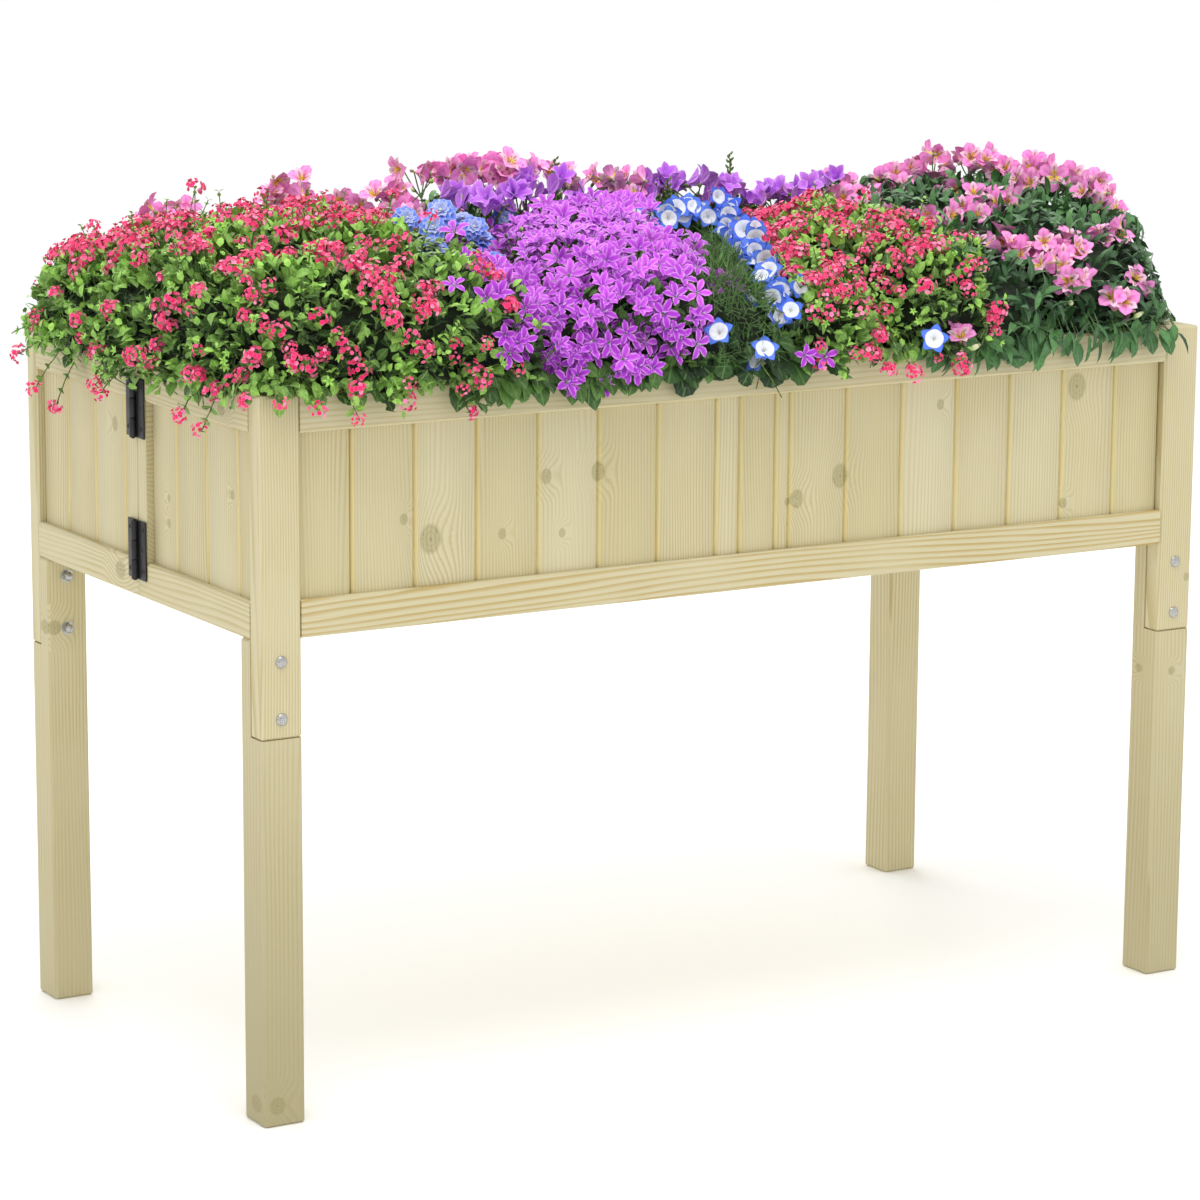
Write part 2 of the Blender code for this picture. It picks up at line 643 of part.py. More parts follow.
def umbel(radius, height):
    """Points and faces of a domed head of small blossoms on a short stalk."""
    points = [Vector((0, 0, 0)), Vector((0, 0, height))]
    for ring, (share, level) in enumerate(((1.0, 0.55), (0.60, 0.90))):
        for k in range(5):
            turn = math.tau * (k + ring / 2) / 5
            points.append(Vector((radius * share * math.cos(turn), radius * share * math.sin(turn),
                                  height * level)))
    faces = []
    for k in range(5):
        here, after = 2 + k, 2 + (k + 1) % 5
        upper, upper_after = 7 + k, 7 + (k + 1) % 5
        faces += [(0, after, here), (here, after, upper), (after, upper_after, upper)]
        faces.append((1, upper, upper_after))
    return points, faces


def leaf(length, width, thickness=0.0022, bend=0.25):
    """Points and faces of a closed leaf that runs from its foot along +Z and arches towards +X."""
    droop = bend * length
    points = [Vector((0, 0, 0)), Vector((droop * 0.25, width / 2, length * 0.45)),
              Vector((droop, 0, length)), Vector((droop * 0.25, -width / 2, length * 0.45)),
              Vector((droop * 0.25 + thickness, 0, length * 0.45)),
              Vector((droop * 0.25 - thickness, 0, length * 0.45))]
    faces = []
    for k in range(4):
        after = (k + 1) % 4
        faces += [(k, after, 4), (after, k, 5)]
    return points, faces


def bud_spike(length, radius):
    """Points and faces of a slender spike of buds."""
    points = [Vector((0, 0, 0)), Vector((0, 0, length))]
    for share, level in ((0.30, 0.16), (1.0, 0.55), (0.6, 0.8)):
        for turn in (0, math.pi / 2, math.pi, -math.pi / 2):
            across = radius * share
            points.append(Vector((across * math.cos(turn), across * math.sin(turn), length * level)))
    faces = []
    for k in range(4):
        after = (k + 1) % 4
        faces += [(0, 2 + after, 2 + k), (1, 10 + k, 10 + after)]
        for ring in (2, 6):
            faces += [(ring + k, ring + after, ring + 4 + after), (ring + k, ring + 4 + after, ring + 4 + k)]
    return points, faces


@dataclass
class Obstacle:
    """A solid that the growing plants must keep clear of: its owner, surface and box."""

    owner: str
    tree: BVHTree
    low: Vector
    high: Vector


class Planting:
    """Holds the leaf masses and stem layers, and roots leaves and flowers in them, clear of the rest."""

    def __init__(self):
        self.obstacles = []
        self.bases = {}
        self.growth = {}

    def add_base(self, name, shape):
        """Remember a leaf mass or stem layer that leaves and flowers can root in."""
        self.bases[name] = shape
        self.growth[name] = bmesh.new()
        self.remember(name, BVHTree.FromBMesh(shape), [vertex.co for vertex in shape.verts])

    def remember(self, owner, tree, points):
        """Add an obstacle."""
        low = Vector([min(p[k] for p in points) for k in range(3)])
        high = Vector([max(p[k] for p in points) for k in range(3)])
        self.obstacles.append(Obstacle(owner, tree, low, high))

    def surface(self, name):
        """The bounding tree of a base."""
        return next(item.tree for item in self.obstacles if item.owner == name)

    def is_clear(self, owner, points, faces):
        """Whether a solid, also when grown a little about its foot, meets nothing but its own base."""
        centre = sum(points, Vector()) / len(points)
        base = self.surface(owner)
        low = Vector([min(p[k] for p in points) for k in range(3)])
        high = Vector([max(p[k] for p in points) for k in range(3)])
        near = [item.tree for item in self.obstacles if item.tree is not base
                and all(low[k] <= item.high[k] + 0.002 and high[k] >= item.low[k] - 0.002 for k in range(3))]
        for grow in (1.0, 1.08):
            grown = [points[0]] + [centre + (p - centre) * grow for p in points[1:]]
            tree = BVHTree.FromPolygons(grown, faces)
            if any(tree.overlap(other) for other in near):
                return False
        return True

    def root(self, owner, solid, foot, heading, spin=0.0, lean=None):
        """Grow a solid from a point of its base's surface along a heading, if it is clear."""
        points, faces = solid
        side = lean if lean is not None else heading.orthogonal()
        side = (side - heading * side.dot(heading)).normalized()
        turn = Matrix((side, heading.cross(side), heading)).transposed().to_4x4()
        place = Matrix.Translation(foot - heading * ROOTED) @ turn @ Matrix.Rotation(spin, 4, "Z")
        moved = [place @ p for p in points]
        if not self.is_clear(owner, moved, faces):
            return False
        target = self.growth[owner]
        corners = [target.verts.new(p) for p in moved]
        for face in faces:
            target.faces.new([corners[k] for k in face])
        self.remember("growth", BVHTree.FromPolygons(moved, faces), moved)
        return True

    def drop(self, name, x, y):
        """The point and slope of a base's upper surface under a plan point, or None beside it."""
        hit, normal, _, _ = self.surface(name).ray_cast(Vector((x, y, 2.0)), Vector((0, 0, -1)))
        return (hit, normal) if hit else None

    def finish(self, name, finish, bloom):
        """Make the base's object, with its growth joined to it by a Boolean union."""
        piece = add_piece(name, self.bases[name], finish)
        growth = self.growth[name]
        if growth.faces:
            tool = add_cutter(f"{name}_growth", growth)
            tool.data.materials.clear()
            tool.data.materials.append(finish_material(f"{name}_bloom", bloom))
            cut(piece, tool, "UNION")
            piece.modifiers[-1].material_mode = "TRANSFER"


def scatter(planting, base, centre, count, make, upright, rng):
    """Root up to count solids at random places of a base's upper surface."""
    done = 0
    box = next(item for item in planting.obstacles if item.owner == base)
    for _ in range(count * 12):
        if done == count:
            return
        x, y = rng.uniform(box.low.x, box.high.x), rng.uniform(box.low.y, box.high.y)
        found = planting.drop(base, x, y)
        if not found or found[1].z < 0.2:
            continue
        heading = (found[1] * (1 - upright) + Vector((0, 0, 1)) * upright).normalized()
        away = Vector((x - centre[0], y - centre[1], 0.001))
        done += planting.root(base, make(rng), found[0], heading, rng.uniform(0, math.tau), away)


def hand_placed(planting, base, centre, stations, make, rng, forward):
    """Root a solid at each plan station, leaning forward and outward."""
    for x, y in stations:
        found = planting.drop(base, x, y)
        if found:
            outward = Vector((x - centre[0], y - centre[1], 0))
            heading = (Vector((0, -forward, 1)) + outward * 1.6).normalized()
            planting.root(base, make(rng), found[0], heading, rng.uniform(0, 1))


def edge_leaves(planting, plant, count, length, width, rng):
    """Leaves that hang outward and down from the canopy's edge, over the rim of the box."""
    base = f"{plant.name}_foliage"
    start = Vector(plant.centre)
    for k in range(count):
        turn = math.tau * (k + rng.uniform(0.2, 0.8)) / count
        heading = Vector((math.cos(turn), math.sin(turn)))
        reach = cell_distance(plant, heading)
        if reach < outer_distance(start, heading) - 1e-4:
            continue
        x, y = start + heading * (reach + 0.02)
        level = CANOPY_UNDERSIDE + rng.uniform(0.003, 0.008)
        hit, normal, _, _ = planting.surface(base).ray_cast(Vector((x, y, level)), -heading.to_3d())
        if hit is None:
            continue
        hang = (normal * 0.5 + Vector((0, 0, -1)) * rng.uniform(0.35, 0.8)).normalized()
        scale = rng.uniform(0.85, 1.2)
        planting.root(base, leaf(length * scale, width * scale, bend=-0.15), hit, hang, 0.0, normal)


def trailing_sprigs(planting, plant):
    """Sprigs that reach out over the left end of the bed: a slim stem widening to a head at its tip."""
    base = f"{plant.name}_foliage"
    for y, reach, sink in SPRIGS:
        hit, _, _, _ = planting.surface(base).ray_cast(Vector((-0.9, y, CANOPY_UNDERSIDE + 0.008)),
                                                       Vector((1, 0, 0)))
        if hit is not None:
            planting.root(base, bud_spike(reach, 0.008), hit, Vector((-1, 0, -sink)).normalized())


BLOOMS = {
    "umbel": lambda r: umbel(r.uniform(0.012, 0.016), r.uniform(0.016, 0.021)),
    "trumpet": lambda r: star(6, r.uniform(0.020, 0.025), 0.45, 0.016, r.uniform(0.022, 0.034)),
    "double": lambda r: star(7, r.uniform(0.023, 0.027), 0.80, 0.010, 0.008, 0.006),
    "bellstar": lambda r: star(5, r.uniform(0.016, 0.020), 0.38, 0.007, 0.008),
    "tall_bell": lambda r: star(5, r.uniform(0.016, 0.020), 0.55, 0.014, r.uniform(0.028, 0.040)),
    "saucer": lambda r: star(5, r.uniform(0.017, 0.020), 0.66, 0.009, 0.008),
    "spike": lambda r: bud_spike(r.uniform(0.060, 0.078), 0.006),
    "small_leaf": lambda r: leaf(r.uniform(0.024, 0.032), r.uniform(0.017, 0.022)),
    "long_leaf": lambda r: leaf(r.uniform(0.038, 0.052), r.uniform(0.011, 0.014)),
}


def build_planting():
    """Eight plants, each a leaf mass on the soil and a layer of flowering stems on it."""
    planting = Planting()
    reach = (LENGTH / 2 + GAP, WIDTH / 2 + GAP)
    timber = block(bmesh.new(), (-reach[0], -reach[1], END_BOTTOM), (*reach, RIM + GAP))
    planting.remember("timber", BVHTree.FromBMesh(timber), [vertex.co for vertex in timber.verts])
    for plant in PLANTS:
        planting.add_base(f"{plant.name}_foliage", leaf_mass(plant))
        planting.add_base(f"{plant.name}_flowering_stems", stem_layer(plant))
    rng = random.Random(20)
    for plant in PLANTS:
        stems = f"{plant.name}_flowering_stems"
        hand_placed(planting, stems, plant.centre, plant.stations, BLOOMS[plant.kind], rng, plant.forward)
        if plant.name == "tall_bellflower":
            hand_placed(planting, stems, plant.centre, BUD_SPIKES, BLOOMS["spike"], rng, 0.0)
        scatter(planting, stems, plant.centre, plant.scattered, BLOOMS[plant.kind], 0.25, rng)
        scatter(planting, stems, plant.centre, plant.leaves, BLOOMS[plant.leaf], 0.3, rng)
        edge_leaves(planting, plant, EDGE_LEAVES, 0.036, 0.021, rng)
    trailing_sprigs(planting, PLANTS[0])
    for plant in PLANTS:
        planting.finish(f"{plant.name}_foliage", plant.green, plant.green)
        planting.finish(f"{plant.name}_flowering_stems", plant.green, plant.bloom)


def main():
    """Build the bed from the ground up."""
    clear_scene()
    build_legs_and_posts()
    build_long_panel("front", FRONT)
    build_long_panel("rear", REAR)
    build_end_panel("left", LEFT, -1)
    build_end_panel("right", RIGHT, 1)
    build_end_hinges()
    build_liner_and_soil(build_floor())
    build_planting()


main()
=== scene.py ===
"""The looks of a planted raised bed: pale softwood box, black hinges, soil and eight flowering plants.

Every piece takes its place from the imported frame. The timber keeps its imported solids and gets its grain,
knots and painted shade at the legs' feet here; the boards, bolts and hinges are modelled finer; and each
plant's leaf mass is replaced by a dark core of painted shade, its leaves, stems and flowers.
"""

import logging
import math
from collections.abc import Callable, Iterable, Sequence
from dataclasses import dataclass, field
from enum import Enum

import bmesh
import bpy
import numpy as np
from mathutils import Matrix, Vector, noise
from mathutils.bvhtree import BVHTree


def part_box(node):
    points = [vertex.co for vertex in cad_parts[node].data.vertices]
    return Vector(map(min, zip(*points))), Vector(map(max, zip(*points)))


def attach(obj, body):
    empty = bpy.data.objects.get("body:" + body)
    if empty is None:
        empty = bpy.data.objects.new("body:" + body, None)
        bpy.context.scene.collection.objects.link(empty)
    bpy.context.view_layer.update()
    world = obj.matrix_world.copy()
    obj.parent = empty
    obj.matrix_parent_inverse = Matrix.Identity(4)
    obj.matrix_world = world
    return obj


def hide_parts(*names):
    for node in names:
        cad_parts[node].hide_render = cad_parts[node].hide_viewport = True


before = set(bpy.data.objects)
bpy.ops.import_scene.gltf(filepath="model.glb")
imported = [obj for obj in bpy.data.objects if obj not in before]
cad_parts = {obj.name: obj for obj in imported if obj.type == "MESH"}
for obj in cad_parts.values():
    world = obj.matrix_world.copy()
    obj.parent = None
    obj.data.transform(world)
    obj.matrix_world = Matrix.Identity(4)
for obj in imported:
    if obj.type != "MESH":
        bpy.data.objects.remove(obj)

LOG = logging.getLogger("raised_bed")
ROOT = "root"

RIM = 0.7872
BROW = 0.8
UP = np.array([0.0, 0.0, 1.0])

Colour = tuple[int, int, int]
Span = tuple[float, float]
Vec = tuple[float, float, float]
Drift = tuple[tuple[Vec, ...], float]
Material = bpy.types.Material
Node = bpy.types.Node
Socket = bpy.types.NodeSocket


def linear(colour: Colour) -> tuple[float, ...]:
    """Turn a colour in display values, 0 to 255, into linear RGBA."""
    parts = [value / 255 for value in colour]
    light = [p / 12.92 if p <= 0.04045 else ((p + 0.055) / 1.055) ** 2.4 for p in parts]
    return (*light, 1.0)


# ---- node graphs

class Graph:
    """A node tree being built, with short ways to add and join nodes."""

    def __init__(self, tree: bpy.types.NodeTree) -> None:
        """Hold the tree."""
        self.tree = tree

    def node(self, kind: str, **settings: object) -> Node:
        """Add a node and set its properties."""
        made = self.tree.nodes.new(kind)
        for key, value in settings.items():
            setattr(made, key, value)
        return made

    def feed(self, target: Socket, value: object) -> None:
        """Link a socket to an input, or set the input's own value."""
        if isinstance(value, bpy.types.NodeSocket):
            self.tree.links.new(value, target)
        else:
            target.default_value = value

    def math(self, operation: str, *values: object) -> Socket:
        """Add a Math node and return its value."""
        made = self.node("ShaderNodeMath", operation=operation)
        for socket, value in zip(made.inputs, values):
            self.feed(socket, value)
        return made.outputs[0]

    def vector(self, operation: str, *values: object) -> Socket:
        """Add a Vector Math node and return its vector, or its value for a dot product or a length."""
        made = self.node("ShaderNodeVectorMath", operation=operation)
        for socket, value in zip(made.inputs, values):
            self.feed(socket, value)
        return made.outputs["Value" if operation in ("DOT_PRODUCT", "LENGTH") else "Vector"]

    def split(self, vector: Socket) -> Sequence[Socket]:
        """Part a vector into its X, Y and Z."""
        made = self.node("ShaderNodeSeparateXYZ")
        self.feed(made.inputs[0], vector)
        return made.outputs

    def mix(self, factor: object, first: object, second: object) -> Socket:
        """Mix two colours, each a socket or a colour in display values.

        Args:
            factor: Share of the second colour.
            first: The first colour.
            second: The second colour.

        Returns:
            The mixed colour.
        """
        made = self.node("ShaderNodeMix", data_type="RGBA")
        self.feed(made.inputs[0], factor)
        for socket, colour in ((made.inputs[6], first), (made.inputs[7], second)):
            self.feed(socket, linear(colour) if isinstance(colour, tuple) else colour)
        return made.outputs[2]

    def noise(self, vector: Socket, scale: float, detail: float = 2.0, distortion: float = 0.0) -> Socket:
        """Add a Noise Texture and return its value.

        Args:
            vector: Where it is read.
            scale: Its scale.
            detail: How many finer layers it has.
            distortion: How far it is warped.

        Returns:
            The value, from 0 to 1.
        """
        made = self.node("ShaderNodeTexNoise")
        for label, value in (("Vector", vector), ("Scale", scale), ("Detail", detail), ("Distortion", distortion)):
            self.feed(made.inputs[label], value)
        return made.outputs["Fac"]

    def step(self, value: object, low: object, high: object, start: float = 0.0, end: float = 1.0) -> Socket:
        """Rise smoothly from start to end while value goes from low to high.

        Args:
            value: The value.
            low: Where the rise begins.
            high: Where it ends.
            start: The result up to low.
            end: The result from high on.

        Returns:
            The result.
        """
        made = self.node("ShaderNodeMapRange", interpolation_type="SMOOTHSTEP")
        for socket, given in zip(made.inputs, (value, low, high, start, end)):
            self.feed(socket, given)
        return made.outputs[0]

    def bump(self, height: Socket, strength: float, distance: float) -> Socket:
        """Add a Bump node and return its normal."""
        made = self.node("ShaderNodeBump")
        for label, value in (("Height", height), ("Strength", strength), ("Distance", distance)):
            self.feed(made.inputs[label], value)
        return made.outputs[0]

    def attribute(self, name: str) -> Socket:
        """Read a number that the mesh carries."""
        return self.node("ShaderNodeAttribute", attribute_name=name).outputs["Fac"]

    def place(self) -> Socket:
        """Object coordinates."""
        return self.node("ShaderNodeTexCoord").outputs["Object"]


def new_group(name: str, inputs: dict[str, str], outputs: dict[str, str]) -> tuple[Graph, dict, dict]:
    """Start a shader node group.

    Args:
        name: The group's name.
        inputs: Socket kinds by input name.
        outputs: Socket kinds by output name.

    Returns:
        The graph of its tree, its input sockets and its output sockets by name.
    """
    tree = bpy.data.node_groups.new(name, "ShaderNodeTree")
    for way, sockets in (("INPUT", inputs), ("OUTPUT", outputs)):
        for label, kind in sockets.items():
            tree.interface.new_socket(label, in_out=way, socket_type=f"NodeSocket{kind}")
    graph = Graph(tree)
    entry = graph.node("NodeGroupInput")
    end = graph.node("NodeGroupOutput")
    return graph, {k: entry.outputs[k] for k in inputs}, {k: end.inputs[k] for k in outputs}


def make_grain_group() -> bpy.types.NodeTree:
    """Build the softwood grain: growth rings cut lengthwise, fine fibres and slow mottling."""
    graph, given, out = new_group(
        "softwood_grain",
        {"Vector": "Vector", "Bend": "Float", "Spacing": "Float", "Figure": "Float", "Shift": "Float"},
        {"Latewood": "Float", "Fibre": "Float", "Mottle": "Float"})
    offset = graph.vector("SCALE", (3.1, 5.7, 1.3))
    graph.feed(offset.node.inputs["Scale"], given["Shift"])
    moved = graph.vector("ADD", given["Vector"], offset)
    slow = graph.noise(graph.vector("MULTIPLY", moved, (1.0, 1.0, 0.1)), 11.0, 1.5, 0.3)
    fine_wander = graph.noise(graph.vector("MULTIPLY", moved, (1.0, 1.0, 0.14)), 60.0, 1.0)
    straight = graph.math("MULTIPLY", graph.split(moved)[0], given["Spacing"])
    rings = graph.math("ADD", straight, graph.math("MULTIPLY", slow, given["Figure"]))
    rings = graph.math("MULTIPLY_ADD", fine_wander, 0.35, rings)
    rings = graph.math("ADD", rings, given["Bend"])
    phase = graph.math("FRACT", rings)
    rise = graph.step(phase, 0.35, 0.86)
    fall = graph.step(phase, 0.9, 1.0, 1.0, 0.0)
    strength = graph.step(graph.noise(moved, 7.0, 1.0), 0.3, 0.65, 0.45, 1.0)
    graph.feed(out["Latewood"], graph.math("MULTIPLY", graph.math("MULTIPLY", rise, fall), strength))
    fibre = graph.noise(graph.vector("MULTIPLY", moved, (1.0, 1.0, 0.015)), 1400.0, 2.0)
    graph.feed(out["Fibre"], fibre)
    graph.feed(out["Mottle"], graph.noise(graph.vector("MULTIPLY", moved, (1.0, 1.0, 0.35)), 14.0, 2.0))
    return graph.tree


def make_knot_group() -> bpy.types.NodeTree:
    """Build one knot: a dark heart, a darker rim and the way it bends the rings around it."""
    graph, given, out = new_group(
        "knot", {"Vector": "Vector", "Centre": "Vector", "Radius": "Float", "Bend": "Float", "Heart": "Float"},
        {"Bend": "Float", "Heart": "Float"})
    apart = graph.vector("MULTIPLY", graph.vector("SUBTRACT", given["Vector"], given["Centre"]), (1.0, 0.0, 0.78))
    distance = graph.vector("LENGTH", apart)
    ragged = graph.noise(given["Vector"], 260.0, 2.0)
    share = graph.math("DIVIDE", distance, given["Radius"])
    share = graph.math("MULTIPLY_ADD", ragged, 0.35, graph.math("SUBTRACT", share, 0.17))
    near = graph.step(share, 0.3, 4.2, 3.0, 0.0)
    graph.feed(out["Bend"], graph.math("ADD", given["Bend"], near))
    ripple = graph.math("MULTIPLY_ADD", graph.math("SINE", graph.math("MULTIPLY", share, 15.0)), 0.07, 0.58)
    heart = graph.math("MULTIPLY", ripple, graph.step(share, 0.85, 1.25, 1.0, 0.0))
    pith = graph.step(share, 0.08, 0.3, 0.8, 0.0)
    rim = graph.math("MULTIPLY", graph.step(share, 0.62, 0.88), graph.step(share, 0.92, 1.3, 0.76, 0.0))
    cracked = graph.math("MULTIPLY", rim, graph.step(ragged, 0.35, 0.62, 0.35, 1.0))
    seen = graph.math("MAXIMUM", graph.math("MAXIMUM", heart, pith), cracked)
    graph.feed(out["Heart"], graph.math("MAXIMUM", given["Heart"], seen))
    return graph.tree


def make_blade_group() -> bpy.types.NodeTree:
    """Build the veins of a leaf or petal from its blade coordinates: u across and v along."""
    graph, given, out = new_group(
        "blade_veins", {"Blade": "Vector", "Count": "Float", "Slant": "Float"},
        {"Along": "Float", "Edge": "Float", "Midrib": "Float", "Veins": "Float"})
    across, along, _ = graph.split(given["Blade"])
    edge = graph.math("MULTIPLY", graph.math("ABSOLUTE", graph.math("SUBTRACT", across, 0.5)), 2.0)
    slanted = graph.math("SUBTRACT", graph.math("MULTIPLY", along, given["Count"]),
                         graph.math("MULTIPLY", edge, given["Slant"]))
    wave = graph.math("ABSOLUTE", graph.math("SINE", graph.math("MULTIPLY", slanted, math.pi)))
    graph.feed(out["Along"], along)
    graph.feed(out["Edge"], edge)
    graph.feed(out["Midrib"], graph.step(edge, 0.02, 0.16, 1.0, 0.0))
    graph.feed(out["Veins"], graph.step(wave, 0.0, 0.35, 1.0, 0.0))
    return graph.tree


class Effects:
    """The shader groups that several materials use, each built once."""

    def __init__(self) -> None:
        """Build the groups."""
        self.grain = make_grain_group()
        self.knot = make_knot_group()
        self.blade = make_blade_group()

    @staticmethod
    def use(graph: Graph, tree: bpy.types.NodeTree, **values: object) -> Node:
        """Place a group in a graph and feed its inputs by name.

        Args:
            graph: The graph that takes it.
            tree: The group's tree.
            values: Its inputs by name.

        Returns:
            The group node.
        """
        made = graph.node("ShaderNodeGroup", node_tree=tree)
        for label, value in values.items():
            graph.feed(made.inputs[label], value)
        return made


EFFECTS = Effects()


class Surface(Graph):
    """A material being built: the graph of its tree, and its Principled BSDF."""

    def __init__(self, name: str, **settings: float) -> None:
        """Start the material, with constants on the shader's inputs by their name in small letters."""
        self.material = bpy.data.materials.new(name)
        self.material.use_nodes = True
        super().__init__(self.material.node_tree)
        self.shader = self.tree.nodes["Principled BSDF"].inputs
        for label, value in settings.items():
            next(i for i in self.shader if i.name.lower().replace(" ", "_") == label).default_value = value

    def done(self, colour: object, roughness: object = None, relief: Sequence[object] = ()) -> Material:
        """Feed the shader and hand over the material.

        Args:
            colour: The base colour.
            roughness: The roughness, where it isn't constant.
            relief: The height, strength and distance of a bump.

        Returns:
            The material.
        """
        self.feed(self.shader["Base Color"], linear(colour) if isinstance(colour, tuple) else colour)
        if roughness is not None:
            self.feed(self.shader["Roughness"], roughness)
        if relief:
            self.feed(self.shader["Normal"], self.bump(*relief))
        return self.material


# ---- finishes

@dataclass(frozen=True)
class Knot:
    """One knot on a timber face: its place in the bed's frame and its radius."""

    place: Vec
    radius: float


class Run(Enum):
    """The way the grain runs, as (across, along) directions in the bed's frame."""

    UPRIGHT_FACE = ((1.0, 0.0, 0.0), (0.0, 0.0, 1.0))
    UPRIGHT_END = ((0.0, 1.0, 0.0), (0.0, 0.0, 1.0))
    UPRIGHT_POST = ((0.8, 0.6, 0.0), (0.0, 0.0, 1.0))
    LONG = ((0.0, 0.25, 1.0), (1.0, 0.0, 0.0))
    CROSSWISE = ((0.25, 0.0, 1.0), (0.0, 1.0, 0.0))


@dataclass(frozen=True)
class Softwood:
    """A planed softwood finish: its colours, ring spacing per metre, figure and knots."""

    name: str
    run: Run
    early: Colour = (206, 198, 162)
    late: Colour = (184, 170, 120)
    spacing: float = 200.0
    figure: float = 9.0
    shift: float = 0.0
    knots: tuple[Knot, ...] = ()
    toned: bool = False
    painted_foot_shade: float = 0.0
    stile: Vec | None = None

    def coordinates(self, graph: Graph, run: Run) -> Socket:
        """Object coordinates turned so that X is across the grain and Z along it.

        Args:
            graph: The finish's graph.
            run: The way the grain runs.

        Returns:
            The turned coordinates.
        """
        across, along = run.value
        place = graph.place()
        depth = tuple(Vector(along).cross(Vector(across)).normalized())
        turned = graph.node("ShaderNodeCombineXYZ")
        for socket, way in zip(turned.inputs, (across, depth, along)):
            graph.feed(socket, graph.vector("DOT_PRODUCT", place, way))
        return turned.outputs[0]

    def stile_mask(self, graph: Graph) -> Socket:
        """One where a half frame's upright stile is, and nought on its rails.

        Args:
            graph: The finish's graph.

        Returns:
            The mask.
        """
        _, along, height = graph.split(graph.place())
        width, low, high = self.stile
        inside = graph.math("LESS_THAN", graph.math("ABSOLUTE", along), width)
        above = graph.math("GREATER_THAN", height, low)
        below = graph.math("LESS_THAN", height, high)
        return graph.math("MULTIPLY", graph.math("MULTIPLY", above, below), inside)

    def make(self) -> Material:
        """Build the material."""
        graph = Surface(self.name)
        place = self.coordinates(graph, self.run)
        if self.stile:
            chosen = graph.node("ShaderNodeMix", data_type="VECTOR")
            for k, value in ((0, self.stile_mask(graph)), (4, place), (5, self.coordinates(graph, Run.UPRIGHT_END))):
                graph.feed(chosen.inputs[k], value)
            place = chosen.outputs[1]
        bend: object = 0.0
        heart: object = 0.0
        across, along = (Vector(way) for way in self.run.value)
        for knot in self.knots:
            spot = Vector(knot.place)
            centre = (spot.dot(across), 0.0, spot.dot(along))
            made = EFFECTS.use(graph, EFFECTS.knot, Vector=place, Centre=centre, Radius=knot.radius,
                               Bend=bend, Heart=heart)
            bend, heart = made.outputs["Bend"], made.outputs["Heart"]
        shift: object = self.shift
        tone: object = 0.5
        if self.toned:
            tone = graph.attribute("tone")
            shift = graph.math("MULTIPLY_ADD", tone, 9.0, self.shift)
        grain = EFFECTS.use(graph, EFFECTS.grain, Vector=place, Bend=bend, Spacing=self.spacing,
                            Figure=self.figure, Shift=shift)
        colour = graph.mix(grain.outputs["Latewood"], self.early, self.late)
        colour = graph.mix(graph.step(grain.outputs["Mottle"], 0.3, 0.75, 0.0, 0.28), colour, (200, 188, 144))
        colour = graph.mix(graph.step(grain.outputs["Fibre"], 0.35, 0.7, 0.16, 0.0), colour, (176, 152, 100))
        if self.toned:
            colour = graph.mix(graph.step(tone, 0.0, 0.6, 0.34, 0.0), colour, (188, 176, 126))
            colour = graph.mix(graph.step(tone, 0.7, 1.0, 0.0, 0.35), colour, (218, 212, 182))
            # Painted highlight: the slanting chamfer faces between boards get a brighter yellow tint.
            facing = graph.split(graph.node("ShaderNodeNewGeometry").outputs["Normal"])
            slanted = graph.math("MINIMUM", *(graph.math("ABSOLUTE", facing[k]) for k in (0, 1)))
            colour = graph.mix(graph.step(slanted, 0.35, 0.6, 0.0, 0.6), colour, (224, 206, 138))
        # Painted shade: the colour darkens towards the foot of the timber, strongest at the floor.
        if self.painted_foot_shade:
            foot_shade_mask = graph.step(graph.split(graph.place())[2], 0.0, 0.55, self.painted_foot_shade, self.painted_foot_shade * 0.2)
            colour = graph.mix(foot_shade_mask, colour, (152, 143, 106))
        if self.knots:
            stain = graph.mix(graph.step(heart, 0.6, 0.95), (142, 134, 84), (98, 80, 44))
            colour = graph.mix(graph.math("MULTIPLY", heart, 0.8), colour, stain)
        height = graph.math("MULTIPLY_ADD", grain.outputs["Fibre"], 0.4, grain.outputs["Latewood"])
        return graph.done(colour, graph.step(grain.outputs["Latewood"], 0.0, 1.0, 0.62, 0.5), (height, 0.25, 0.0004))


@dataclass(frozen=True)
class Leaf:
    """A leaf's finish: shaded and lit greens, the veins' colour and how many pairs there are."""

    name: str
    shade: Colour
    light: Colour
    vein: Colour
    pairs: float = 5.0
    roughness: float = 0.46

    def make(self) -> Material:
        """Build the material."""
        graph = Surface(self.name, specular_ior_level=0.35, sheen_weight=0.12)
        uv = graph.node("ShaderNodeUVMap", uv_map="blade").outputs[0]
        veins = EFFECTS.use(graph, EFFECTS.blade, Blade=uv, Count=self.pairs, Slant=1.1)
        colour = graph.mix(graph.attribute("tone"), self.shade, self.light)
        mottle = graph.noise(graph.place(), 240.0, 2.0)
        colour = graph.mix(graph.step(mottle, 0.35, 0.7, 0.0, 0.35), colour, self.shade)
        ribs = graph.math("MAXIMUM", veins.outputs["Midrib"], graph.math("MULTIPLY", veins.outputs["Veins"], 0.5))
        colour = graph.mix(graph.math("MULTIPLY", ribs, 0.45), colour, self.vein)
        rough = graph.step(mottle, 0.3, 0.7, self.roughness, self.roughness + 0.15)
        return graph.done(colour, rough, (ribs, 0.3, 0.0006))


